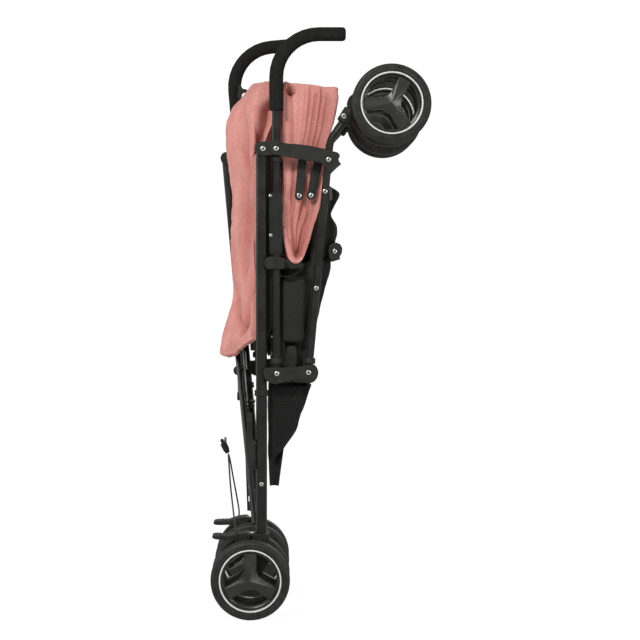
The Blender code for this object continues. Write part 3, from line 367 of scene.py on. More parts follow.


# Knitted mesh, closed: round holes painted near black as the shade seen through them, between
# lighter threads.
def meshMaterial(name):
    material = startMaterial(name, 0.0, 0.2, 0.05)
    tree = material.node_tree
    coords = clothCoords(tree)
    holes = addNode(tree, "TexVoronoi", {"Vector": coords, "Scale": 1 / meshLook["hole"],
                                         "Randomness": 0.0}, feature="F1").outputs["Distance"]
    sag = addNoise(tree, coords, 30.0, 3.0)
    tone = addRamp(tree, holes, ((0.3, meshLook["gap"]), (0.48, meshLook["thread"])))
    fade = addRamp(tree, sag, ((0.3, (0.55, 0.55, 0.55)), (0.7, (1, 1, 1))))
    return endMaterial(material, addMix(tree, "MULTIPLY", 1.0, tone, fade),
                       addRange(tree, sag, low=0.75, high=0.95), holes, 0.6, 0.0004)


looks = {name: hardMaterial(name, *look) for name, look in hardFinishes.items()}
looks.update({name: clothMaterial(name, look) for name, look in clothFinishes.items()})
looks["basketMesh"] = meshMaterial("basketMesh")
print("materials are made")


# Shared making

def deselect():
    if bpy.context.mode != "OBJECT":
        bpy.ops.object.mode_set(mode="OBJECT")
    bpy.ops.object.select_all(action="DESELECT")


def pick(thing):
    deselect()
    thing.select_set(True)
    bpy.context.view_layer.objects.active = thing


def applyModifiers(thing):
    pick(thing)
    for modifier in list(thing.modifiers):
        bpy.ops.object.modifier_apply(modifier=modifier.name)


# A circle with one vertex moved onto each point of an outline.
def outlineRing(name, points):
    deselect()
    bpy.ops.mesh.primitive_circle_add(vertices=len(points), radius=0.01)
    ring = bpy.context.object
    ring.name = name
    for vertex, point in zip(ring.data.vertices, points):
        vertex.co = point
    return ring


# Runs edit mode operators of bpy.ops.mesh on the whole mesh, each a name with its settings.
def editMesh(thing, *steps):
    pick(thing)
    bpy.ops.object.mode_set(mode="EDIT")
    bpy.ops.mesh.select_all(action="SELECT")
    for name, settings in steps:
        getattr(bpy.ops.mesh, name)(**settings)
    bpy.ops.object.mode_set(mode="OBJECT")


def smoothBy(angle):
    bpy.ops.object.shade_smooth_by_angle(angle=math.radians(angle))


def tidyMesh(thing, angle=35):
    editMesh(thing, ("remove_doubles", {"threshold": 0.00002}),
             ("normals_make_consistent", {"inside": False}))
    smoothBy(angle)
    return thing


def roundEdges(thing, width, segments, limit, angle):
    bevel = thing.modifiers.new("edges", "BEVEL")
    bevel.width = width
    bevel.segments = segments
    bevel.limit_method = "ANGLE"
    bevel.angle_limit = math.radians(limit)
    applyModifiers(thing)
    smoothBy(angle)


# A closed outline of (radius, height) turned about the Y axis; height runs towards -Y.
def turnedPiece(name, outline, steps=72, angle=35):
    thing = outlineRing(name, [(radius, -height, 0) for radius, height in outline])
    editMesh(thing, ("spin", {"steps": steps, "angle": math.tau, "center": (0, 0, 0),
                              "axis": (0, 1, 0)}))
    return tidyMesh(thing, angle)


def extrusion(rise):
    return "extrude_region_move", {"TRANSFORM_OT_translate": {"value": (0, rise, 0)}}


# A flat outline in x and z, made thick from y0 to y1, with its edges rounded.
def platePiece(name, outline, y0, y1, rounding=0.0008, segments=2):
    thing = outlineRing(name, [(x, y0, z) for x, z in outline])
    editMesh(thing, ("edge_face_add", {}), extrusion(y1 - y0))
    tidyMesh(thing)
    roundEdges(thing, rounding, segments, 40, 35)
    return thing


def arcPoints(x, z, radius, start, end, count):
    angles = [math.radians(start + (end - start) * i / count) for i in range(count + 1)]
    return [(x + radius * math.cos(a), z + radius * math.sin(a)) for a in angles]


def roundedBox(x0, x1, z0, z1, radius, count=4):
    return (arcPoints(x1 - radius, z0 + radius, radius, -90, 0, count)
            + arcPoints(x1 - radius, z1 - radius, radius, 0, 90, count)
            + arcPoints(x0 + radius, z1 - radius, radius, 90, 180, count)
            + arcPoints(x0 + radius, z0 + radius, radius, 180, 270, count))


def copyPiece(source, name):
    return addThing(name, source.data.copy())


def discard(thing):
    bpy.data.objects.remove(thing)


# Names the piece, gives it its finish, and lets it move with its body.
def fit(thing, name, look, body, slot, *standsFor):
    thing.name = name
    if not thing.data.materials:
        thing.data.materials.append(looks[look])
    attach(thing, body)
    if standsFor:
        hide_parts(*standsFor)
    return thing


# Wheels

wheel = {
    "steps": 96,
    "tyre": ((0.0543, 0.0105), (0.0556, 0.0126), (0.0586, 0.013), (0.0592, 0.0124), (0.0598, 0.013),
             (0.064, 0.0129), (0.0646, 0.0122), (0.0652, 0.0127), (0.0686, 0.0114),
             (0.0704, 0.0096), (0.0713, 0.008), (0.0717, 0.0064), (0.071, 0.0058), (0.071, 0.005),
             (0.0719, 0.0044), (0.072, 0.0012), (0.0714, 0.0007)),
    "ring": ((0.0537, 0.011), (0.0539, 0.0128), (0.0545, 0.0135), (0.0552, 0.0137),
             (0.0559, 0.0135), (0.0565, 0.0128), (0.0565, 0.0112)),
    "barrel": ((0.054, -0.0108), (0.054, 0.0112), (0.0531, 0.0117), (0.0519, 0.0112),
               (0.0512, 0.009), (0.0506, 0.0052), (0.048, 0.004), (0.048, -0.0085),
               (0.05, -0.0108)),
    "hub": ((0.0046, -0.0108), (0.012, -0.0108), (0.0134, -0.009), (0.0142, 0.004), (0.006, 0.004),
            (0.0046, 0.002)),
    "spokeHalf": 0.0114, "spokeReach": 0.05, "bendStart": 0.03, "throat": 0.0168,
    "faceLow": -0.005, "faceHigh": 0.0072, "crown": 0.0062,
}


def heading(degrees):
    return Vector((math.cos(math.radians(degrees)), math.sin(math.radians(degrees))))


# The outline of three spokes that flare into each other round the hub.
def spiderOutline():
    half, reach, bend = wheel["spokeHalf"], wheel["spokeReach"], wheel["bendStart"]
    points = []
    for spoke in (90, 210, 330):
        along = heading(spoke)
        side = Vector((along.y, -along.x))
        throat = heading(spoke + 60) * wheel["throat"]
        nextAlong = heading(spoke + 120)
        nextSide = Vector((nextAlong.y, -nextAlong.x))
        points.append(along * reach + side * half)
        points.append(along * (reach + 0.0012))
        points.append(along * reach - side * half)
        first = along * bend - side * half
        last = nextAlong * bend + nextSide * half
        for i in range(9):
            t = i / 8
            pull = throat * 2 - (first + last) / 2
            points.append(first * (1 - t) ** 2 + pull * 2 * t * (1 - t) + last * t ** 2)
    return [(point.x, point.y) for point in points]


def makeSpider():
    thing = outlineRing("spider", [(x, -wheel["faceLow"], z) for x, z in spiderOutline()])
    editMesh(thing, ("edge_face_add", {}), extrusion(wheel["faceLow"] - wheel["faceHigh"]),
             ("poke", {"offset": 0.0}))
    for vertex in thing.data.vertices:
        co = vertex.co
        if math.hypot(co.x, co.z) < 0.002 and co.y < 0:
            co.y -= wheel["crown"]
    tidyMesh(thing, 12)
    roundEdges(thing, 0.001, 2, 50, 12)
    return thing


def joinPieces(pieces):
    pick(pieces[0])
    for piece in pieces[1:]:
        piece.select_set(True)
    bpy.ops.object.join()
    return pieces[0]


def makeWheels():
    half = wheel["tyre"]
    tyreOutline = list(half) + [(radius, -height) for radius, height in half[::-1]]
    masters = {
        "tyre": turnedPiece("tyreMaster", tyreOutline, wheel["steps"], 28),
        "ring": turnedPiece("ringMaster", wheel["ring"], wheel["steps"], 60),
        "rim": joinPieces([turnedPiece("rimMaster", wheel["barrel"], wheel["steps"], 30),
                           turnedPiece("hubMaster", wheel["hub"], 48, 30), makeSpider()]),
    }
    finishes = {"tyre": ("tyreRubber", "tyre_rubber"), "ring": ("trimWhite", "rim_plastic"),
                "rim": ("wheelPlastic", "rim_plastic")}
    for side, facing in sides.items():
        for end, lean in (("rear", "frame"), ("front", "leg")):
            for which in ("outer", "inner"):
                body = f"{side}_{end}_{which}_wheel"
                low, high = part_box(f"{side}_{end}_{which}_tyre")
                turned = (side == "right") == (which == "inner")  # faces +Y
                spin = 0 if end == "rear" else (-90 if turned else 90)
                place = Matrix.Translation((low + high) / 2)
                place = place @ facing[lean].to_3x3().to_4x4()
                place = place @ Matrix.Rotation(math.pi if turned else 0, 4, "Z")
                place = place @ Matrix.Rotation(math.radians(-spin), 4, "Y")
                for part, (look, slot) in finishes.items():
                    thing = copyPiece(masters[part], part)
                    thing.data.transform(place)
                    name = f"{side}{end.title()}{which.title()}{part.title()}"
                    stands = [f"{side}_{end}_{which}_{part}"] if part != "ring" else []
                    fit(thing, name, look, body, slot, *stands)
    for master in masters.values():
        discard(master)
    print("wheels are made")


makeWheels()


# Cloth

def smoothThrough(points, steps):
    ends = [points[0] * 2 - points[1]] + points + [points[-1] * 2 - points[-2]]
    result = []
    for a, b, c, d in zip(ends, ends[1:], ends[2:], ends[3:]):
        for i in range(steps):
            t = i / steps
            result.append(0.5 * (2 * b + (c - a) * t + (2 * a - 5 * b + 4 * c - d) * t ** 2
                                 + (3 * b - a - 3 * c + d) * t ** 3))
    result.append(points[-1])
    return result


def evenly(points, count):
    lengths = [0.0]
    for a, b in zip(points, points[1:]):
        lengths.append(lengths[-1] + (b - a).length)
    result = []
    spot = 0
    for i in range(count + 1):
        goal = lengths[-1] * i / count
        while spot < len(points) - 2 and lengths[spot + 1] < goal:
            spot += 1
        step = max(lengths[spot + 1] - lengths[spot], 1e-9)
        result.append(points[spot].lerp(points[spot + 1], (goal - lengths[spot]) / step))
    return result


def ease(t):
    t = min(1.0, max(0.0, t))
    return t * t * (3 - 2 * t)


# The far side frame leans back, and cloth hung between the frames follows it part of the way.
def leanShift(y, z):
    return math.tan(leanAngle) * 0.6 * (z - axle["z"]) * (y / spacing) ** 2


# How deep the creases press at one spot. A crease is a line of (across, up) on one side of the
# shell, with its depth and its width to the left and right in metres.
def creaseDepth(creases, side, u, v, width):
    total = 0.0
    for crease in creases:
        line = crease["line"]
        if crease["side"] != side or not line[0][1] <= v <= line[-1][1]:
            continue
        for (u0, v0), (u1, v1) in zip(line, line[1:]):
            if v0 <= v <= v1:
                centre = u0 + (u1 - u0) * (v - v0) / max(v1 - v0, 1e-6)
                break
        gap = (u - centre) * width
        spread = crease["wide"][0] if gap < 0 else crease["wide"][1]
        low, high = line[0][1], line[-1][1]
        fade = ease((v - low) / crease["fade"][0]) * ease((high - v) / crease["fade"][1])
        total += crease["depth"] * fade * math.exp(-abs(gap / spread) ** 1.4)
    return total


def wrinkle(point, wrinkles):
    total = 0.0
    for size, tall, depth, seed in wrinkles:
        spot = Vector((point.x / size, point.y / size, point.z / tall)) + Vector((seed,) * 3)
        total += depth * noise.noise(spot)
    return total


# Holds a value between two limits, easing into each over the last few millimetres.
def softLimit(value, low, high, soft=0.006):
    if value > high - soft:
        return high - soft * math.exp(-(value - high + soft) / soft)
    if value < low + soft:
        return low + soft * math.exp((value - low - soft) / soft)
    return value


def crease(side, line, depth, wide, fade):
    return {"side": side, "line": line, "depth": depth, "wide": wide, "fade": fade}


# Creases scattered over the sides that the photograph doesn't show so closely.
def scatterCreases(seed, side, count, depth, low=0.0, high=1.0):
    chance = random.Random(seed)
    creases = []
    for i in range(count):
        u = (i + 0.5 + chance.uniform(-0.3, 0.3)) / count
        start = low + (high - low) * chance.uniform(0.0, 0.35)
        end = low + (high - low) * chance.uniform(0.65, 1.0)
        middle = (start + end) / 2
        drift = chance.uniform(-0.05, 0.05)
        pressed = depth * chance.uniform(0.5, 1.2)
        wide = (0.004 + 0.006 * chance.random(), 0.004 + 0.006 * chance.random())
        line = ((u, start), (u + drift, middle), (u - drift, end))
        creases.append(crease(side, line, pressed, wide, (0.15, 0.15)))
    return creases


# Rings of a soft shell. A level is four corners: near back, near front, far front, far back.
def shellRows(shell):
    corners = [smoothThrough([Vector(level[i]) for level in shell["levels"]], 8)
               for i in range(4)]
    corners = [evenly(line, shell["rows"]) for line in corners]
    rows = []
    shell["folds"] = []
    for i in range(shell["rows"] + 1):
        v = i / shell["rows"]
        four = [line[i] for line in corners]
        ring, labels = [], []
        for side in range(4):
            a, b = four[side], four[(side + 1) % 4]
            count = shell["counts"][side]
            for j in range(count):
                ring.append(a.lerp(b, j / count))
                labels.append((side, j / count, (b - a).length))
        for _ in range(shell["soften"]):
            ring = [(ring[j - 1] + ring[j] * 2 + ring[(j + 1) % len(ring)]) / 4
                    for j in range(len(ring))]
        moved = []
        for j, (point, (side, u, width)) in enumerate(zip(ring, labels)):
            along = ring[(j + 1) % len(ring)] - ring[j - 1]
            outward = Vector((along.y, -along.x, 0)).normalized()
            depth = creaseDepth(shell["creases"], side, u, v, width)
            if side == 1 and shell.get("paired"):  # the two faces of a thin shell fold as one
                depth = depth * 0.5 - creaseDepth(shell["creases"], 3, 1 - u, v, width)
            spot = point + Vector((leanShift(point.y, point.z) if shell["lean"] else 0, 0, 0))
            turn = -1 if side == 1 and shell.get("paired") else 1
            push = -depth + wrinkle(spot, shell["wrinkles"]) * turn
            spot = spot + outward * push
            # Fold depth per point, crease depth plus wrinkle dips, which the cloth material darkens
            # as painted shade.
            shell["folds"].append(max(0.0, depth) + max(0.0, -wrinkle(spot, shell["wrinkles"])))
            spot.z += wrinkle(spot + Vector((3, 5, 7)), shell["wrinkles"]) * 0.5
            spot.z -= depth * shell.get("sag", 0) * ease((v - 1 + crownPart) / crownPart)
            reach = min(1.0, max(0.0, (point.y - inset) / (farSide - inset)))
            spot.z -= (shell.get("hemDrop", 0) * math.sin(math.pi * reach ** 1.5)
                       * ease(1 - v / hemPart))
            low, high = shell["between"]
            if spot.z < shell.get("freeBelow", 0):
                low = shell["freeLow"]
            spot.y = softLimit(spot.y, low, high)
            moved.append(spot)
        rows.append(moved)
    return rows


def capRows(ring, rise, shares=(0.97, 0.88, 0.7, 0.45, 0.2, 0.04)):
    centre = sum(ring, Vector()) / len(ring)
    rows = []
    for share in shares:
        lift = rise * math.sqrt(max(0.0, 1 - share ** 2))
        row = []
        for point in ring:
            spot = centre.lerp(point, share)
            spot.z = point.z * share + centre.z * (1 - share) + lift
            spot.z += 0.0015 * noise.noise(spot * 60)
            row.append(spot)
        rows.append(row)
    return rows


# A mesh from rows of points, with a flat map in metres along and across the cloth.
def clothMesh(name, rows, closed):
    count = len(rows[0])
    across = [0.0]
    for j in range(count if closed else count - 1):
        span = [(row[(j + 1) % count] - row[j]).length for row in rows]
        across.append(across[-1] + sum(span) / len(span))
    up = [0.0]
    for low, high in zip(rows, rows[1:]):
        span = [(b - a).length for a, b in zip(low, high)]
        up.append(up[-1] + sum(span) / len(span))
    faces, marks = [], []
    for i in range(len(rows) - 1):
        for j in range(len(across) - 1):
            k = (j + 1) % count
            faces.append((i * count + j, i * count + k, (i + 1) * count + k, (i + 1) * count + j))
            marks += [(across[j], up[i]), (across[j + 1], up[i]), (across[j + 1], up[i + 1]),
                      (across[j], up[i + 1])]
    mesh = bpy.data.meshes.new(name)
    mesh.from_pydata([point for row in rows for point in row], [], faces)
    layer = mesh.uv_layers.new(name="clothMap")
    for loop, mark in zip(layer.data, marks):
        loop.uv = mark
    mesh.polygons.foreach_set("use_smooth", [True] * len(faces))
    return addThing(name, mesh), (across[-1], up[-1])


def thicken(thing, thickness):
    wall = thing.modifiers.new("wall", "SOLIDIFY")
    wall.thickness = thickness
    wall.offset = -1
    applyModifiers(thing)


def softShell(shell):
    rows = shellRows(shell)
    folds = shell["folds"]
    if shell["top"]:
        rows += capRows(rows[-1], shell["top"])
    if shell["bottom"]:
        cap = capRows(rows[0], -shell["bottom"])[::-1]
        folds = [0.0] * sum(len(row) for row in cap) + folds
        rows = cap + rows
    rows = [[toWorld @ point for point in row] for row in rows]
    thing, flat = clothMesh(shell["name"], rows, True)
    # The fold depths go to the cloth material, which paints shade into the creases with them.
    marks = thing.data.attributes.new("foldDepth", "FLOAT", "POINT")
    marks.data.foreach_set("value", folds + [0.0] * (len(thing.data.vertices) - len(folds)))
    thicken(thing, shell["thickness"])
    return thing, flat


inset = 0.0155
farSide = spacing - inset
crownPart, hemPart = 0.14, 0.16  # how much of a shell's height its crown and its hem take


# A level is the height, the back and front x near and far, the near and far y, the far height
# and how much lower its front runs.
def level(z, near, far, nearY=inset, farY=farSide, zFar=None, drop=0.0):
    zFar = z if zFar is None else zFar
    return ((near[0], nearY, z), (near[1], nearY, z - drop), (far[1], farY, zFar - drop),
            (far[0], farY, zFar))


def sameLevel(z, back, front, *rest):
    return level(z, (back, front), (back, front), *rest)


hoodBack = {
    "name": "hoodBack", "rows": 130, "counts": (18, 70, 8, 70), "soften": 3, "lean": False,
    "thickness": 0.0012, "top": 0.004, "bottom": 0, "between": (0.0142, 0.1805),
    "hemDrop": 0.011, "paired": True,
    "levels": tuple(
        level(z, (back, front), (farBack, farFront), zFar=zFar)
        for z, back, front, farBack, farFront, zFar in (
            (0.5035, -0.05, -0.043, -0.113, -0.108, 0.47),
            (0.518, -0.05, -0.041, -0.113, -0.107, 0.486),
            (0.545, -0.049, -0.039, -0.104, -0.096, 0.526),
            (0.585, -0.05, -0.038, -0.091, -0.082, 0.574),
            (0.63, -0.05, -0.038, -0.092, -0.083, 0.626),
            (0.68, -0.0505, -0.038, -0.096, -0.086, 0.676),
            (0.745, -0.051, -0.0385, -0.0945, -0.085, 0.742),
            (0.8, -0.051, -0.038, -0.0925, -0.083, 0.8),
            (0.84, -0.051, -0.0375, -0.0985, -0.088, 0.84),
            (0.872, -0.05, -0.024, -0.105, -0.0915, 0.8784),
            (0.9, -0.048, -0.012, -0.103, -0.085, 0.911),
            (0.923, -0.048, -0.01, -0.0955, -0.075, 0.936),
            (0.942, -0.044, -0.005, -0.089, -0.066, 0.956),
            (0.96, -0.04, 0.002, -0.0765, -0.052, 0.969),
            (0.973, -0.034, 0.003, -0.066, -0.044, 0.983),
            (0.979, -0.026, 0.0, -0.056, -0.036, 0.995))),
    "creases": [
        crease(3, ((0.68, 0.04), (0.56, 0.08), (0.36, 0.13), (0.12, 0.21), (0.05, 0.3)),
               0.017, (0.012, 0.024), (0.012, 0.12)),
        crease(3, ((0.72, 0.05), (0.8, 0.1), (0.9, 0.2), (0.93, 0.34)),
               0.011, (0.014, 0.012), (0.02, 0.14)),
        crease(3, ((0.22, 0.0), (0.34, 0.04), (0.48, 0.08)), -0.008, (0.02, 0.016), (0.01, 0.04)),
        crease(3, ((0.6, 0.2), (0.64, 0.38), (0.56, 0.6)), 0.008, (0.02, 0.024), (0.1, 0.14)),
        crease(3, ((0.84, 0.3), (0.86, 0.48), (0.8, 0.68)), 0.006, (0.01, 0.016), (0.1, 0.14)),
        crease(3, ((0.22, 0.46), (0.3, 0.54), (0.42, 0.63)), 0.0028, (0.0016, 0.005), (0.02, 0.01)),
        crease(3, ((0.7, 0.6), (0.68, 0.76), (0.58, 0.92)), 0.013, (0.022, 0.026), (0.1, 0.12)),
        crease(3, ((0.28, 0.6), (0.24, 0.76), (0.34, 0.92)), -0.006, (0.026, 0.026), (0.12, 0.1)),
        crease(3, ((0.48, 0.7), (0.42, 0.82), (0.46, 0.95)), 0.005, (0.008, 0.016), (0.08, 0.06)),
        crease(0, ((0.7, 0.7), (0.72, 0.84), (0.8, 0.95)), 0.026, (0.016, 0.016), (0.05, 0.07)),
        crease(3, ((0.4, 0.28), (0.58, 0.44), (0.64, 0.62), (0.62, 0.76)),
               0.01, (0.03, 0.042), (0.12, 0.1)),
    ] + scatterCreases(11, 1, 8, 0.004),
    "wrinkles": ((0.06, 0.11, 0.0072, 1.3), (0.026, 0.042, 0.004, 4.7),
                 (0.011, 0.016, 0.0013, 9.1)),
}


def frontCrease(line, depth, wide, fade=(0.05, 0.05)):
    return crease(0, line, depth, wide, fade)


hoodFront = {
    "name": "hoodFront", "rows": 130, "counts": (68, 46, 30, 30), "soften": 2, "lean": True,
    "thickness": 0.0012, "top": 0.003, "bottom": 0.0015, "between": (0.014, 0.181),
    "sag": 0.8, "freeBelow": 0.712, "freeLow": 0.0035,
    "levels": tuple(sameLevel(*row) for row in (
        (0.645, 0.027, 0.0345, 0.0075, 0.173), (0.649, 0.022, 0.04, 0.005, 0.176),
        (0.6611, 0.016, 0.048, 0.0045), (0.69, 0.0088, 0.0585, 0.008),
        (0.718, 0.007, 0.0662, 0.0135), (0.751, 0.007, 0.0775), (0.8, 0.007, 0.085),
        (0.854, 0.007, 0.0875), (0.8905, 0.007, 0.0975),
        (0.933, 0.0068, 0.105, inset, farSide, None, 0.004),
        (0.96, 0.0062, 0.108, inset, farSide, None, 0.009),
        (0.974, 0.0065, 0.1068, 0.0165, farSide, None, 0.012),
        (0.981, 0.008, 0.1075, 0.019, farSide, None, 0.012))),
    "creases": [
        frontCrease(((0.46, 0.02), (0.3, 0.2), (0.28, 0.45), (0.2, 0.72), (0.15, 1.0)),
                    0.0075, (0.007, 0.0028), (0.05, 0.01)),
        frontCrease(((0.52, 0.02), (0.5, 0.3), (0.47, 0.6), (0.52, 1.0)),
                    0.008, (0.003, 0.01), (0.05, 0.01)),
        frontCrease(((0.56, 0.02), (0.68, 0.25), (0.68, 0.55), (0.72, 1.0)),
                    0.0075, (0.0022, 0.011), (0.05, 0.01)),
        frontCrease(((0.48, 0.03), (0.38, 0.16), (0.4, 0.34)), 0.0045, (0.0022, 0.004)),
        frontCrease(((0.5, 0.03), (0.18, 0.16), (0.13, 0.42)), 0.005, (0.0022, 0.005)),
        frontCrease(((0.53, 0.03), (0.6, 0.18), (0.6, 0.42)), 0.0045, (0.003, 0.003)),
        frontCrease(((0.56, 0.04), (0.8, 0.16), (0.82, 0.44)), 0.0045, (0.004, 0.003)),
        frontCrease(((0.2, 0.935), (0.17, 0.97), (0.06, 0.995)), 0.016, (0.01, 0.005),
                    (0.02, 0.004)),
        frontCrease(((0.34, 0.52), (0.3, 0.75), (0.33, 1.0)), 0.0035, (0.006, 0.006)),
        frontCrease(((0.62, 0.5), (0.6, 0.8), (0.62, 1.0)), 0.0032, (0.004, 0.004)),
        frontCrease(((0.86, 0.55), (0.87, 0.8), (0.88, 1.0)), 0.0018, (0.004, 0.004)),
        frontCrease(((0.06, 0.3), (0.06, 0.6), (0.05, 0.95)), 0.0022, (0.003, 0.003)),
        frontCrease(((0.44, 0.52), (0.4, 0.75), (0.43, 1.0)), 0.0042, (0.0013, 0.004)),
        frontCrease(((0.57, 0.5), (0.58, 0.75), (0.61, 1.0)), 0.004, (0.0013, 0.0045)),
        frontCrease(((0.78, 0.42), (0.8, 0.75), (0.82, 1.0)), 0.0045, (0.0014, 0.005)),
        frontCrease(((0.5, 0.02), (0.34, 0.14), (0.23, 0.3), (0.22, 0.44)), 0.0042,
                    (0.0012, 0.003)),
        frontCrease(((0.53, 0.02), (0.7, 0.14), (0.73, 0.34)), 0.0042, (0.0012, 0.003)),
        frontCrease(((0.49, 0.05), (0.46, 0.2), (0.53, 0.42)), 0.004, (0.0012, 0.003)),
        frontCrease(((0.51, 0.04), (0.6, 0.12), (0.66, 0.26)), 0.0032, (0.0012, 0.002)),
    ] + scatterCreases(21, 1, 9, 0.006) + scatterCreases(22, 2, 6, 0.006)
      + scatterCreases(23, 3, 6, 0.004),
    "wrinkles": ((0.045, 0.09, 0.0034, 2.2), (0.02, 0.04, 0.0022, 6.1),
                 (0.009, 0.014, 0.0008, 3.9)),
}


seatFabric = {
    "name": "seatFabric", "rows": 110, "counts": (30, 46, 30, 46), "soften": 3, "lean": True,
    "thickness": 0.0013, "top": 0.002, "bottom": 0.001, "between": (0.0276, 0.1674),
    "levels": tuple(sameLevel(*row, 0.0285, 0.1665) for row in (
        (0.452, 0.015, 0.059), (0.471, 0.014, 0.0625), (0.49, 0.012, 0.0648),
        (0.505, 0.0105, 0.0668), (0.528, 0.01, 0.071), (0.558, 0.01, 0.0772),
        (0.602, 0.01, 0.089), (0.624, 0.0105, 0.095), (0.64, 0.013, 0.0985),
        (0.649, 0.054, 0.099), (0.662, 0.058, 0.106), (0.675, 0.061, 0.108),
        (0.6872, 0.063, 0.107), (0.7001, 0.064, 0.1088), (0.713, 0.066, 0.107),
        (0.7351, 0.069, 0.0965), (0.752, 0.072, 0.103), (0.7702, 0.076, 0.1112),
        (0.779, 0.078, 0.1105), (0.79, 0.082, 0.095))),
    "creases": [
        crease(0, ((0.55, 0.0), (0.62, 0.3), (0.6, 0.48)), 0.0068, (0.004, 0.006), (0.02, 0.08)),
        crease(0, ((0.8, 0.0), (0.84, 0.26), (0.8, 0.5)), 0.0061, (0.004, 0.005), (0.02, 0.08)),
        crease(0, ((0.6, 0.5), (0.75, 0.6), (0.6, 0.72)), 0.0081, (0.003, 0.006), (0.04, 0.04)),
        crease(0, ((0.85, 0.46), (0.6, 0.58), (0.9, 0.7)), 0.0081, (0.003, 0.006), (0.04, 0.04)),
        crease(0, ((0.7, 0.72), (0.75, 0.86), (0.7, 0.98)), 0.0054, (0.003, 0.006), (0.04, 0.04)),
    ] + scatterCreases(31, 1, 10, 0.007) + scatterCreases(32, 3, 9, 0.005)
      + scatterCreases(33, 2, 6, 0.005),
    "wrinkles": ((0.04, 0.06, 0.0034, 5.5), (0.02, 0.026, 0.0018, 8.8), (0.01, 0.012, 0.0006, 2.6)),
}


meshBasket = {
    "name": "meshBasket", "rows": 60, "counts": (26, 44, 24, 40), "soften": 2, "lean": False,
    "thickness": 0.0012, "top": 0, "bottom": 0.002, "between": (0.0145, 0.18),
    "levels": tuple(sameLevel(z, -0.0196, front) for z, front in (
        (0.2845, -0.011), (0.299, 0.006), (0.3143, 0.018), (0.3418, 0.035),
        (0.3785, 0.046), (0.399, 0.052), (0.4195, 0.0592))),
    "creases": [
        crease(0, ((0.45, 0.1), (0.5, 0.5), (0.6, 1.0)), 0.0054, (0.006, 0.008), (0.1, 0.1)),
        crease(0, ((0.75, 0.25), (0.8, 0.6), (0.84, 1.0)), 0.0047, (0.005, 0.006), (0.1, 0.1)),
    ] + scatterCreases(41, 1, 7, 0.006) + scatterCreases(42, 2, 4, 0.005),
    "wrinkles": ((0.06, 0.06, 0.0026, 7.7), (0.024, 0.024, 0.0012, 1.8)),
}


# Cloth that hangs between the two side frames: it takes its finish and keeps its place in the
# world, fastened to neither frame.
def blendAcross(thing, look):
    thing.data.materials.append(looks[look])
    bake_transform(thing)


def hang(shell, look, node):
    thing, flat = softShell(shell)
    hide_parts(node)
    blendAcross(thing, look)
    print(shell["name"], "is hung,", len(thing.data.polygons), "faces")


def hangBasket():
    thing, flat = softShell(meshBasket)
    fit(thing, "meshBasket", "basketMesh", "right_rear_leg", "black_mesh", "basket")
    print("meshBasket is hung,", len(thing.data.polygons), "faces")


hang(hoodBack, "hoodWeave", "hood_back")
hang(hoodFront, "hoodWeave", "hood_front")
hang(seatFabric, "seatWeave", "seat_cloth")
hangBasket()


# Finishes of the frame parts that stay as they are

frameFinishes = (
    ("grip", "foamGrip"), ("tube", "tubePaint"), ("brace", "tubePaint"), ("leg", "tubePaint"),
    ("axle", "polishedSteel"), ("block", "mouldedPlastic"), ("bracket", "mouldedPlastic"),
    ("fork", "mouldedPlastic"), ("lock", "mouldedPlastic"), ("clip", "mouldedPlastic"),
    ("pedal", "mouldedPlastic"), ("blade", "mouldedPlastic"), ("joiner", "mouldedPlastic"),
    ("cable", "cableSheath"),
)
for name, node in nodes.items():
    for word, look in frameFinishes:
        if word in name:
            for place in node.material_slots:
                place.material = looks[look]
            break


# Places in the photograph: x and z of a pixel that lies that far outward of the right side.
view = {"distance": 2.699, "pixels": 548, "centre": (280, 283.1), "centreZ": 0.60954}


def seenAt(px, py, outward=0.0):
    scale = view["pixels"] * view["distance"] / (view["distance"] - outward)
    return (px - view["centre"][0]) / scale, view["centreZ"] + (view["centre"][1] - py) / scale


def seenOutline(points, outward=0.0):
    return [seenAt(px, py, outward) for px, py in points]


def seenLine(points, outward):
    return [Vector((x, 0, z)) for x, z in seenOutline(points, outward)]


# A closed outline of pixels, rounded through its points.
def seenCurve(points, outward, steps):
    line = seenLine(points, outward)
    return [(p.x, p.z) for p in smoothThrough(line + [line[0]], steps)[:-1]]


# A plate drawn once on the right side's picture and made for either side.
def sidePlate(name, outline, outer, inner, side, rounding=0.0008, segments=2):
    ys = sorted((across(side, outer), across(side, inner)))
    thing = platePiece(name, outline, ys[0], ys[1], rounding, segments)
    thing.data.transform(sides[side]["frame"])
    return thing


# Moves a piece turned about the Y axis to a side's outer face, its head outward.
def setOutward(thing, side, x, z, outward, frameKey="frame"):
    turn = Matrix.Rotation(math.pi if side == "left" else 0, 4, "Z")
    spot = Matrix.Translation((x, across(side, outward), z))
    thing.data.transform(sides[side][frameKey] @ spot @ turn)
    return thing


# A ring or boss round an upright line.
def ringRound(name, outline, x, z, side, frameKey="frame", tilt=0.0):
    thing = turnedPiece(name, outline, 40, 30)
    lift = Matrix.Rotation(math.radians(tilt), 4, "Y") @ Matrix.Rotation(math.radians(-90), 4, "X")
    spot = Matrix.Translation((x, across(side, 0), z))
    thing.data.transform(sides[side][frameKey] @ spot @ lift)
    return thing


def fitPlastic(thing, name, body, *standsFor):
    fit(thing, name, "mouldedPlastic", body, "black_plastic", *standsFor)


# A round rod through the points, as a curve.
def rodCurve(name, points, radius, smooth):
    curve = bpy.data.curves.new(name, "CURVE")
    curve.dimensions = "3D"
    curve.bevel_depth = radius
    curve.bevel_resolution = 3
    curve.use_fill_caps = True
    spline = curve.splines.new("POLY")
    spline.points.add(len(points) - 1)
    for place, point in zip(spline.points, points):
        place.co = (*point, 1)
    if smooth:
        spline.use_smooth = True
    return addThing(name, curve)
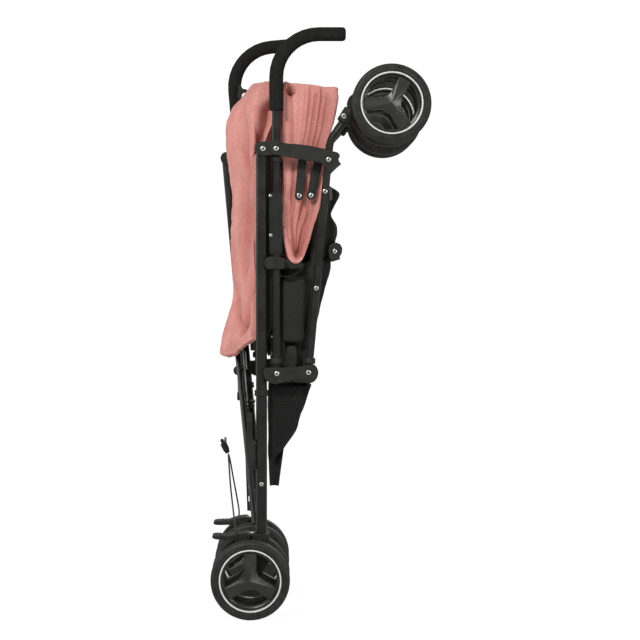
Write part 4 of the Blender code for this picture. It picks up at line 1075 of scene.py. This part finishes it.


# Rivets and bolts: a domed bright head, with painted shade in its recess: a dark disc for the hole
# in the middle.
rivet = {
    "head": ((0.0, 0.0013), (0.0015, 0.0013), (0.002, 0.0019), (0.0031, 0.002), (0.0041, 0.0016),
             (0.0048, 0.0008), (0.005, 0.0), (0.0, 0.0)),
    "recess": ((0.0, 0.00145), (0.0013, 0.00145), (0.0016, 0.0012), (0.0, 0.0011)),
    "washer": ((0.0, 0.0005), (0.0056, 0.0005), (0.006, 0.0), (0.0, 0.0)),
}


def makeRivetMaster():
    head = turnedPiece("rivetHead", rivet["head"], 32, 40)
    washer = turnedPiece("rivetWasher", rivet["washer"], 32, 40)
    recess = turnedPiece("rivetRecess", rivet["recess"], 20, 40)
    head.data.materials.append(looks["polishedSteel"])
    # The recess disc is painted dark as the shade inside the rivet's hole.
    recess.data.materials.append(looks["paintedHoleShade"])
    washer.data.materials.append(looks["mouldedPlastic"])
    return joinPieces([head, recess, washer])


rivetMaster = makeRivetMaster()


def setRivet(name, side, x, z, outward, body, frameKey="frame", size=1.0):
    thing = copyPiece(rivetMaster, name)
    thing.data.transform(Matrix.Scale(size, 4))
    setOutward(thing, side, x, z, outward, frameKey)
    fit(thing, name, "polishedSteel", body, "steel")


# Name, x, z, outward, body, the side matrix it follows and its size.
rivetSpots = (
    ("LinkRivet", tubeX + 0.0012, lowerZ + 0.001, 0.0152, "link"),
    ("FrontLinkRivet", frontX, lowerZ + 0.003, 0.0152, "link"),
    ("LegLowScrew", 0.0683, 0.5999, 0.0066, "front_leg", "leg", 0.92),
    ("LegHighScrew", 0.0845, 0.7771, 0.0066, "front_leg", "leg", 0.92),
    ("FrontBladeRivet", 0.0591, 0.7705, -0.0086, "front_bow"),
    ("RearBladeRivet", 0.0372, 0.77, -0.0086, "rear_bow"),
    ("RearLegScrew", -0.032, 0.2415, 0.0098, "rear_leg", "frame", 0.8),
    ("ClevisBolt", 0.1186, 0.9142, 0.0128, "front_leg", "leg", 1.1),
    ("SeatHingeBolt", 0.1027, 0.6676, -0.0112, "frame", "frame", 0.95),
)


def setRivets():
    boltZ = upperZ - 0.0006
    for side in sides:
        setRivet(f"{side}LegRivet", side, -0.0292, boltZ, 0.014, f"{side}_frame")
        if side == "right":
            setRivet("lockRivet", side, tubeX, boltZ, 0.0183, "transport_lock")
            setRivet("latchRivet", side, 0.0903, 0.8343, 0.0183, "transport_lock")
        else:
            setRivet("leftTubeRivet", side, tubeX, upperZ, 0.014, "left_frame")
        for name, x, z, outward, body, *rest in rivetSpots:
            setRivet(side + name, side, x, z, outward, f"{side}_{body}", *rest)
    print("rivets are set")


# Transport lock: a flat arm from the bracket to the front leg, with a hook at its end.
lockArm = {"outer": 0.0183, "inner": 0.0143, "rounding": 0.0011,
           "top": ((289.6, 143.0), (301, 143.8), (312, 145.4), (325.3, 148.3), (334.4, 150.8),
                   (338.6, 151.8), (341, 153.9), (341.2, 156.2), (339.8, 158.7), (340.6, 161.2),
                   (342.7, 163.7), (337, 168.6), (331.4, 174.2), (329, 171.5)),
           "bottom": ((324.6, 164.0), (321.5, 162.4), (312, 161.0), (302, 159.2), (292, 157.2),
                      (284, 155.6))}


def makeLockArm():
    outline = arcPoints(tubeX, upperZ - 0.0004, 0.0124, 275, 75, 14)
    outline += seenOutline(lockArm["top"], lockArm["outer"])
    outline += seenOutline(lockArm["bottom"], lockArm["outer"])
    thing = sidePlate("lockArm", outline, lockArm["outer"], lockArm["inner"], "right",
                      lockArm["rounding"])
    fitPlastic(thing, "lockArm", "transport_lock", "transport_lock")


# Hood bow blades, straps of plastic with round ends and a pressed rib.
blade = {"half": 0.0078, "outer": -0.0088, "inner": -0.0123, "rib": 0.0005, "topZ": 0.833,
         "length": 0.064}


def makeBlades():
    for side in sides:
        for label, topX, lean in (("front", 0.0725, 12.3), ("rear", 0.043, 5.5)):
            lowX = topX - blade["length"] * math.sin(math.radians(lean))
            lowZ = blade["topZ"] - blade["length"] * math.cos(math.radians(lean))
            half = blade["half"]
            outline = arcPoints(topX, blade["topZ"], half, -lean, 180 - lean, 12)
            outline += arcPoints(lowX, lowZ, half, 180 - lean, 360 - lean, 12)
            plate = sidePlate("plate", outline, blade["outer"], blade["inner"], side)
            inner = arcPoints(topX, blade["topZ"], half * 0.45, -lean, 180 - lean, 6)
            lowX, lowZ = lowX + (topX - lowX) * 0.22, lowZ + (blade["topZ"] - lowZ) * 0.22
            inner += arcPoints(lowX, lowZ, half * 0.45, 180 - lean, 360 - lean, 6)
            rib = sidePlate("rib", inner, blade["outer"] + blade["rib"], blade["outer"] - 0.0005,
                            side, 0.0003)
            fitPlastic(joinPieces([plate, rib]), f"{side}{label.title()}Blade",
                       f"{side}_{label}_bow", f"{side}_{label}_blade")


# Hood clip: a ribbed clamp on the handle tube with a webbing tongue behind the hood's tip.
hoodClip = {
    "clamp": ((265, 262.8), (265.6, 259.6), (268, 257.4), (271, 256.8), (284.6, 257.6), (286, 259),
              (286, 268.2), (284.4, 269.4), (270, 269.8), (266.8, 268.4), (265.4, 266)),
    "tongue": ((283, 258.6), (292, 259.6), (303, 262.6), (304.8, 264), (304.6, 266.6), (302, 268.8),
               (283, 269)),
    "ribX": 274, "ribs": (258.8, 261, 263.2, 265.4, 267.4),
    "loop": ((277.6, 270.4), (279.6, 274), (283.4, 276.6), (288.4, 277.4), (294, 276),
             (299.6, 272.6), (304.4, 268.2)),
    "loopY": (-0.0035, 0.0088),
}


def makeStrapLoop(side):
    low, high = hoodClip["loopY"]
    rows = []
    for point in evenly(smoothThrough(seenLine(hoodClip["loop"], -0.006), 6), 40):
        row = []
        for k in range(9):
            y = low + (high - low) * k / 8
            row.append(sides[side]["frame"] @ Vector((point.x, across(side, -y), point.z)))
        rows.append(row)
    thing, flat = clothMesh(f"{side}StrapLoop", rows, False)
    thicken(thing, 0.0014)
    fit(thing, f"{side}StrapLoop", "strapWeave", f"{side}_frame", "black_cloth")


def makeHoodClips():
    for side in sides:
        parts = [sidePlate("clamp", seenOutline(hoodClip["clamp"], 0.012), 0.012, -0.012, side,
                           0.0022, segments=3)]
        for py in hoodClip["ribs"]:
            x, z = seenAt(hoodClip["ribX"], py, 0.012)
            rib = roundedBox(x, x + 0.0135, z - 0.0011, z + 0.0009, 0.0008, 3)
            parts.append(sidePlate("rib", rib, 0.0127, 0.011, side, 0.0003))
        parts.append(sidePlate("tongue", seenOutline(hoodClip["tongue"], -0.01), -0.0098,
                               -0.0128, side, 0.0008))
        fitPlastic(joinPieces(parts), f"{side}HoodClip", f"{side}_frame", f"{side}_hood_clip")
        makeStrapLoop(side)


# Lower bracket: moulded face plates over the two-pivot link, with a waist below.
lowerPlate = {
    "outline": ((264.9, 368.4), (290, 368), (304, 367.6), (311, 365.2), (316.4, 366.4),
                (319.2, 370.4), (319.4, 375.4), (316.6, 381), (310.7, 383.9), (303.6, 382.6),
                (297, 380.6), (290.4, 381), (284, 383), (277, 385), (270, 383.4), (265.6, 379),
                (264.2, 373)),
    "hole": (293.8, 372.5),
}


def makeLowerBrackets():
    outline = smoothThrough(seenLine(lowerPlate["outline"], 0.0145), 2)
    outline = [(p.x, p.z) for p in outline]
    for side in sides:
        for label, outer, inner in (("Face", 0.0152, 0.0128), ("Back", -0.0128, -0.0146)):
            plate = sidePlate("plate", outline, outer, inner, side, 0.001)
            fitPlastic(plate, f"{side}Link{label}Plate", f"{side}_link")
        x, z = seenAt(*lowerPlate["hole"], 0.0145)
        # Painted shade: a thin dark disc stands for the inside of the pin hole.
        hole = turnedPiece("hole", ((0.0, 0.00005), (0.0019, 0.00005), (0.0026, 0.0007),
                                    (0.003, 0.0)), 24)
        setOutward(hole, side, x, z, 0.0151)
        fit(hole, f"{side}LinkPinHole", "paintedHoleShade", f"{side}_link", "black_plastic")


# Collars and sockets round the tubes.
collarShape = ((0.0103, 0.0), (0.0126, 0.0003), (0.0132, 0.0014), (0.0132, 0.0044),
               (0.0126, 0.0052), (0.0126, 0.0066), (0.0131, 0.0074), (0.0131, 0.0098),
               (0.0124, 0.0108), (0.0103, 0.0112))
sleeveShape = ((0.0079, 0.0), (0.0094, 0.0002), (0.01, 0.001), (0.01, 0.0096), (0.0093, 0.0106),
               (0.0079, 0.0108))
socketShape = ((0.0079, 0.0), (0.011, 0.0), (0.0115, 0.0008), (0.011, 0.0092), (0.0102, 0.0106),
               (0.0079, 0.011))


def makeCollars():
    slim = [(radius - 0.0008, height) for radius, height in socketShape]
    for side in sides:
        for name, shape, x, z, body, *rest in (
                ("LegCollar", collarShape, legX, 0.4022, "rear_leg"),
                ("TubeSleeve", sleeveShape, tubeX, 0.831, "frame"),
                ("TubeSocket", socketShape, tubeX, 0.4612, "frame"),
                ("FrontSocket", slim, frontX + 0.0018, 0.4618, "front_leg", "leg", 5.3)):
            ring = ringRound("ring", shape, x, z, side, *rest)
            fitPlastic(ring, side + name, f"{side}_{body}")


# A soft grip cover wrapped round the handle tube behind the hood.
tubeCover = {"x": (-0.0166, 0.005), "z": (0.66, 0.7752), "halfY": 0.0093, "bulge": 0.0012,
             "waist": 0.001, "waistPart": 0.06, "endPart": 0.06, "endDraw": 0.35, "square": 0.6,
             "screws": ((270.6, 195.4), (271, 235.2))}


def squared(value):  # pushes a sine or cosine outward, so that a circle becomes squarer
    return math.copysign(abs(value) ** tubeCover["square"], value)


def makeTubeCovers():
    for side in sides:
        low, high = tubeCover["z"]
        x0, x1 = tubeCover["x"]
        rows = []
        for i in range(41):
            t = i / 40
            z = low + (high - low) * t
            waist = math.exp(-((t - 0.5) / tubeCover["waistPart"]) ** 2)
            bulge = tubeCover["bulge"] * math.sin(math.pi * t) - tubeCover["waist"] * waist
            past = max(0.0, abs(t - 0.5) * 2 - 1 + tubeCover["endPart"])
            end = 1 - tubeCover["endDraw"] * past / tubeCover["endPart"]
            row = []
            for k in range(32):
                a = math.tau * k / 32
                x = (x0 + x1) / 2 + ((x1 - x0) / 2 + bulge) * squared(math.cos(a)) * end
                y = (tubeCover["halfY"] + bulge) * squared(math.sin(a)) * end + across(side, 0)
                row.append(sides[side]["frame"] @ Vector((x, y, z)))
            rows.append(row)
        rows = capRows(rows[0], -0.0006)[::-1] + rows + capRows(rows[-1], 0.0006)
        thing = clothMesh("tubeCover", rows, True)[0]
        tidyMesh(thing, 60)
        fit(thing, f"{side}TubeCover", "seatWeave", f"{side}_frame", "black_cloth")
        for i, (px, py) in enumerate(tubeCover["screws"]):
            x, z = seenAt(px, py, 0.009)
            setRivet(f"{side}CoverScrew{i + 1}", side, x + 0.0012, z, 0.0088, f"{side}_frame",
                     "frame", 0.62)


# Leg rests: a padded cover on each arm and the hinge it turns on.
legRest = {
    "pad": ((284.6, 277.6), (291, 276.4), (299, 276.8), (304.4, 280), (306.4, 288), (306.2, 330),
            (305.4, 339), (302, 343.4), (292, 343), (283.4, 341.6), (281.8, 337), (282.2, 300),
            (282.8, 284)),
    "outer": -0.011, "inner": -0.0248, "voxel": 0.003, "frames": 18, "pressure": 4.0,
    "swell": 0.0026,
    "stub": ((287.4, 350), (288.6, 346.6), (296.6, 346.6), (298, 350), (298.2, 364), (296, 369.4),
             (292.6, 371), (289.2, 369.4), (287.2, 364)),
    "boss": (292.6, 358.3), "stubEnd": {"right": 371, "left": 363.0},
    "bossShape": ((0.0, -0.0002), (0.0022, -0.0002), (0.0026, 0.001), (0.0036, 0.0013),
                  (0.0046, 0.001), (0.005, -0.0006)),
}


def swellPad(pad):
    pick(pad)
    remesh = pad.modifiers.new("even", "REMESH")
    remesh.mode = "VOXEL"
    remesh.voxel_size = legRest["voxel"]
    remesh.use_smooth_shade = True
    applyModifiers(pad)
    start = [vertex.co.copy() for vertex in pad.data.vertices]
    cloth = pad.modifiers.new("swell", "CLOTH")
    cloth.settings.use_pressure = True
    cloth.settings.uniform_pressure_force = legRest["pressure"]
    cloth.settings.effector_weights.gravity = 0
    cloth.point_cache.frame_start, cloth.point_cache.frame_end = 1, legRest["frames"]
    for number in range(1, legRest["frames"] + 1):
        bpy.context.scene.frame_set(number)
    applyModifiers(pad)
    bpy.context.scene.frame_set(1)
    for vertex, was in zip(pad.data.vertices, start):
        move = vertex.co - was
        if move.length > legRest["swell"]:
            vertex.co = was + move.normalized() * legRest["swell"]
    smooth = pad.modifiers.new("smooth", "SMOOTH")
    smooth.iterations = 4
    applyModifiers(pad)
    for vertex in pad.data.vertices:
        co = vertex.co
        dent = noise.noise(Vector((co.x * 40, co.y * 40, co.z * 22 + 4.2)))
        vertex.co = co + vertex.normal * dent * 0.0009


def makeLegRests():
    master = platePiece("padMaster", seenCurve(legRest["pad"], -0.01, 3), -legRest["outer"],
                        -legRest["inner"], 0.003, 3)
    swellPad(master)
    mirrored = Matrix.Translation((0, spacing, 0)) @ Matrix.Scale(-1, 4, (0, 1, 0))
    for side in sides:
        body = f"{side}_leg_rest"
        pad = copyPiece(master, "pad")
        if side == "left":
            pad.data.transform(mirrored)
            pad.data.flip_normals()
        pad.data.transform(sides[side]["frame"])
        fit(pad, f"{side}LegRestPad", "seatWeave", body, "black_cloth", body)
        mapByHeight(pad)
        outline = [(px, min(py, legRest["stubEnd"][side])) for px, py in legRest["stub"]]
        stub = sidePlate("stub", seenOutline(outline, -0.01), -0.01, -0.023, side,
                         0.0014, segments=3)
        boss = turnedPiece("boss", legRest["bossShape"], 32)
        setOutward(boss, side, *seenAt(*legRest["boss"], -0.01), -0.01)
        fitPlastic(joinPieces([stub, boss]), f"{side}LegRestHinge", body)
    discard(master)
    print("leg rests are made")


# A flat map for a closed soft piece: round it and up it, in metres.
def mapByHeight(thing):
    mesh = thing.data
    layer = mesh.uv_layers.get("clothMap") or mesh.uv_layers.new(name="clothMap")
    for loop, mark in zip(mesh.loops, layer.data):
        co = mesh.vertices[loop.vertex_index].co
        mark.uv = (co.x + co.y, co.z)


# Brake cable: the same line as the solid's, in side coordinates.
brakeCable = {
    "radius": 0.0016, "lag": (-0.003, -0.0036),
    "rise": ((-0.055, -0.0209, 0.11), (-0.075, -0.0209, 0.136), (-0.079, -0.0189, 0.16),
             (-0.0845, 0.0001, 0.198), (-0.0895, 0.0251, 0.232), (-0.0935, 0.0621, 0.266)),
    "crown": (-0.096, 0.0975, 0.284), "tip": (226.2, 443),
    "tipShape": ((0.0, -0.011), (0.0016, -0.011), (0.0022, -0.006), (0.0024, 0.006),
                 (0.0017, 0.0095), (0.0, 0.01)),
}


def makeBrakeCable():
    right = [Vector(point) for point in brakeCable["rise"]]
    left = [Vector((p.x, spacing - p.y, p.z)) for p in right[::-1]]
    left[-2].x += brakeCable["lag"][0]
    left[-1].x += brakeCable["lag"][1]
    line = smoothThrough(right + [Vector(brakeCable["crown"])] + left, 4)
    line = [toWorld @ point for point in line]
    thing = rodCurve("brakeCable", line, brakeCable["radius"], True)
    fit(thing, "brakeCable", "cableSheath", "right_rear_leg", "cable_sheath", "brake_cable")
    middle = spacing / 2
    x, z = seenAt(*brakeCable["tip"], -middle)
    tip = turnedPiece("tip", brakeCable["tipShape"], 24)
    tip.data.transform(toWorld @ Matrix.Translation((x, middle, z))
                       @ Matrix.Rotation(math.radians(-90), 4, "X"))
    fit(tip, "joinerTip", "greyTrim", "right_rear_leg", "cable_sheath")


# Brake pedals: a curved foot plate on a round root, slimmer towards the tip.
pedal = {
    "outline": ((236.4, 541.6), (230, 541.4), (222, 540.8), (216, 540.2), (213.2, 538.8),
                (213.2, 537.2), (216.6, 536.4), (223, 536.8), (229, 537), (234, 536), (239, 534.8),
                (245, 534.2), (250, 534.6), (251.4, 536.8), (250, 540), (243, 541.6)),
    "half": 0.0165, "rounding": 0.0022, "ridges": (217.5, 220.5, 223.5, 226.5), "ridgeY": 535.9,
}


def makePedals():
    outline = seenCurve(pedal["outline"], 0.01, 2)
    for side in sides:
        parts = [sidePlate("plate", outline, pedal["half"], -pedal["half"], side,
                           pedal["rounding"], segments=4)]
        for px in pedal["ridges"]:
            x, z = seenAt(px, pedal["ridgeY"], 0.01)
            ridge = roundedBox(x - 0.0007, x + 0.0007, z - 0.0016, z + 0.0002, 0.0006, 2)
            parts.append(sidePlate("ridge", ridge, pedal["half"] - 0.003,
                                   0.003 - pedal["half"], side, 0.0003))
        fitPlastic(joinPieces(parts), f"{side}BrakePedal", f"{side}_brake", f"{side}_brake_pedal")


# Seat hinge: a plastic ear at the front edge of the seat with a bolt through it.
seatHinge = {
    "outline": ((330.6, 245.6), (334, 243.4), (338.2, 242.6), (341.6, 244.2), (343.7, 248),
                (343.4, 253), (341, 256.8), (341.8, 259.4), (333.2, 262), (330.4, 257.6),
                (329.4, 251)),
    "tab": ((330.6, 188.0), (333.2, 186.8), (333.4, 199.0), (330.8, 200.2)),
}


def makeSeatHinges():
    for side in sides:
        body = f"{side}_frame"
        ear = sidePlate("ear", seenOutline(seatHinge["outline"], -0.0115), -0.0115, -0.03,
                        side, 0.0016, segments=3)
        fitPlastic(ear, f"{side}SeatHinge", body)
        tab = sidePlate("tab", seenOutline(seatHinge["tab"], -0.026), -0.0262, -0.029, side, 0.0004)
        fit(tab, f"{side}SeatTab", "greyTrim", body, "cable_sheath")


# The seat's back, a plain cloth between the handle tubes, behind the braces.
seatBack = {"x": -0.0195, "low": 0.478, "high": 0.846, "edge": 0.0132, "rows": 60,
            "columns": 60, "ripple": 0.0022, "wrapPart": 0.1, "wrap": 0.01}


def makeSeatBack():
    rows = []
    for i in range(seatBack["rows"] + 1):
        v = i / seatBack["rows"]
        row = []
        for j in range(seatBack["columns"] + 1):
            u = j / seatBack["columns"]
            y = seatBack["edge"] + (spacing - 2 * seatBack["edge"]) * u
            z = seatBack["low"] + (seatBack["high"] - seatBack["low"]) * v
            lean = math.tan(leanAngle) * (z - axle["z"]) * (y / spacing)
            wave = math.sin(math.tau * 4 * u + 1.5 * math.sin(5 * v))
            x = seatBack["x"] + seatBack["ripple"] * wave
            if u < seatBack["wrapPart"]:  # the near edge wraps forward round its tube
                x += seatBack["wrap"] * (1 - u / seatBack["wrapPart"]) * ease((z - 0.5) / 0.04)
            row.append(Vector((x + lean, y, z)))
        rows.append([toWorld @ (p + Vector((wrinkle(p, ((0.04, 0.07, 0.0015, 3.3),)), 0, 0)))
                     for p in row])
    thing, flat = clothMesh("seatBack", rows, False)
    thicken(thing, 0.0013)
    blendAcross(thing, "seatWeave")


# A flap of webbing that hangs from the basket's lower edge.
basketFlap = {
    "front": ((286, 443), (284.4, 455), (282.6, 468), (281, 480), (279.8, 489)),
    "back": ((268.8, 446), (269.2, 456), (269.6, 468), (270, 479), (270.6, 489)),
    "y": 0.024, "belly": 0.012, "ripple": 0.0016,
}


def makeBasketFlap():
    lines = []
    for key in ("back", "front"):
        lines.append(evenly(smoothThrough(seenLine(basketFlap[key], 0.0), 4), 24))
    rows = []
    for low, high in zip(*lines):
        row = []
        for j in range(25):
            u = j / 24
            p = low.lerp(high, u)
            y = basketFlap["y"] + basketFlap["belly"] * math.sin(math.pi * u)
            y += basketFlap["ripple"] * math.sin(60 * p.z + 5 * u)
            row.append(toWorld @ Vector((p.x, y, p.z)))
        rows.append(row)
    thing, flat = clothMesh("basketFlap", rows, False)
    thicken(thing, 0.0014)
    fit(thing, "basketFlap", "strapWeave", "right_rear_leg", "black_cloth")


def barBetween(name, points, radius):
    pick(rodCurve(name, points, radius, False))
    bpy.ops.object.convert(target="MESH")
    return tidyMesh(bpy.context.object, 40)


# Rear linkage on the far leg's inner side, seen past the near leg below the hood's hem. Each
# bar, knob and plate is given by pixels of the photograph at that depth.
rearLink = {
    "depth": -0.16,
    "bars": ((((238.5, 350), (239, 395)), 0.0011, "polishedSteel"),
             (((243.8, 350), (249, 409)), 0.0012, "polishedSteel"),
             (((246.5, 352), (247.6, 370)), 0.0011, "polishedSteel"),
             (((246, 440), (246.6, 450), (247, 457), (249, 512)), 0.0018, "mouldedPlastic")),
    "blocks": (((238, 393), (241.4, 401)), ((248, 401.2), (256, 403.8)), ((247.6, 405.8),
               (255.6, 408.2)), ((247.8, 491), (256.5, 497)), ((248.6, 504), (257, 512)),
               ((249, 443), (257, 470))),
    "knob": (239, 371),
    "knobShape": ((0.0, 0.006), (0.005, 0.0058), (0.0078, 0.0046), (0.0092, 0.002),
                  (0.0094, -0.003), (0.0, -0.004)),
}


def makeRearLink():
    depth = rearLink["depth"]
    parts = []
    for i, (line, radius, look) in enumerate(rearLink["bars"]):
        points = []
        for px, py in line:
            x, z = seenAt(px, py, depth)
            points.append(toWorld @ Vector((x, -depth, z)))
        bar = barBetween(f"linkBar{i + 1}", points, radius)
        parts.append((bar, f"rearLinkBar{i + 1}", look))
    blocks = []
    for (x0, y0), (x1, y1) in rearLink["blocks"]:
        left, top = seenAt(x0, y0, depth)
        right, low = seenAt(x1, y1, depth)
        outline = roundedBox(left, right, low, top, min(right - left, top - low) * 0.3, 3)
        block = platePiece("block", outline, -depth - 0.006, -depth + 0.026, 0.0006)
        block.data.transform(toWorld)
        blocks.append(block)
    parts.append((joinPieces(blocks), "rearLinkBlocks", "mouldedPlastic"))
    x, z = seenAt(*rearLink["knob"], depth)
    knob = turnedPiece("knob", rearLink["knobShape"], 32)
    knob.data.transform(toWorld @ Matrix.Translation((x, -depth - 0.004, z)))
    parts.append((knob, "rearLinkKnob", "mouldedPlastic"))
    for thing, name, look in parts:
        fit(thing, name, look, "left_rear_leg", "steel" if look == "polishedSteel"
            else "black_plastic")


# The rods inside the hood that carry the bow blades: from the pivot behind the hood clip up to
# the blade's lower rivet, with a pin through the cloth to the blade.
bowRod = {"radius": 0.002, "pin": 0.0024, "pinEnd": -0.0105, "deep": -0.042,
          "start": ((0.0312, -0.038, 0.644), (0.0345, -0.042, 0.67)),
          "ends": (("front", 0.0589, 0.7705), ("rear", 0.0369, 0.7693))}


def makeBowRods():
    for side in sides:
        frame = sides[side]["frame"]
        for label, x, z in bowRod["ends"]:
            path = list(bowRod["start"]) + [(x, bowRod["deep"], z)]
            pin = [(x, bowRod["deep"], z), (x, bowRod["pinEnd"], z)]
            parts = []
            for line, radius in ((path, bowRod["radius"]), (pin, bowRod["pin"])):
                points = [frame @ Vector((a, across(side, b), c)) for a, b, c in line]
                parts.append(barBetween("rod", points, radius))
            fitPlastic(joinPieces(parts), f"{side}{label.title()}BowRod", f"{side}_{label}_bow")


# A small spring clip on the far grip.
gripClip = {
    "body": ((238.6, 86.2), (241.6, 85.0), (243.6, 88.6), (247.6, 89.4), (248, 91.0), (243.4, 92.6),
             (242, 97.6), (239.8, 99.4), (238.2, 96.0), (239.4, 91.0)),
    "depth": -0.186,
}


def makeGripClip():
    depth = gripClip["depth"]
    thing = platePiece("gripClip", seenCurve(gripClip["body"], depth, 2), -depth - 0.012,
                       -depth + 0.008, 0.001, 3)
    thing.data.transform(toWorld)
    fitPlastic(thing, "gripClip", "left_frame")


setRivets()
makeLockArm()
makeBlades()
makeHoodClips()
makeLowerBrackets()
makeCollars()
makeTubeCovers()
makeLegRests()
makeBrakeCable()
discard(rivetMaster)
makePedals()
makeSeatHinges()
makeSeatBack()
makeBasketFlap()
makeRearLink()
makeBowRods()
makeGripClip()
print("details are made")


bpy.context.scene.view_settings.view_transform = "Standard"
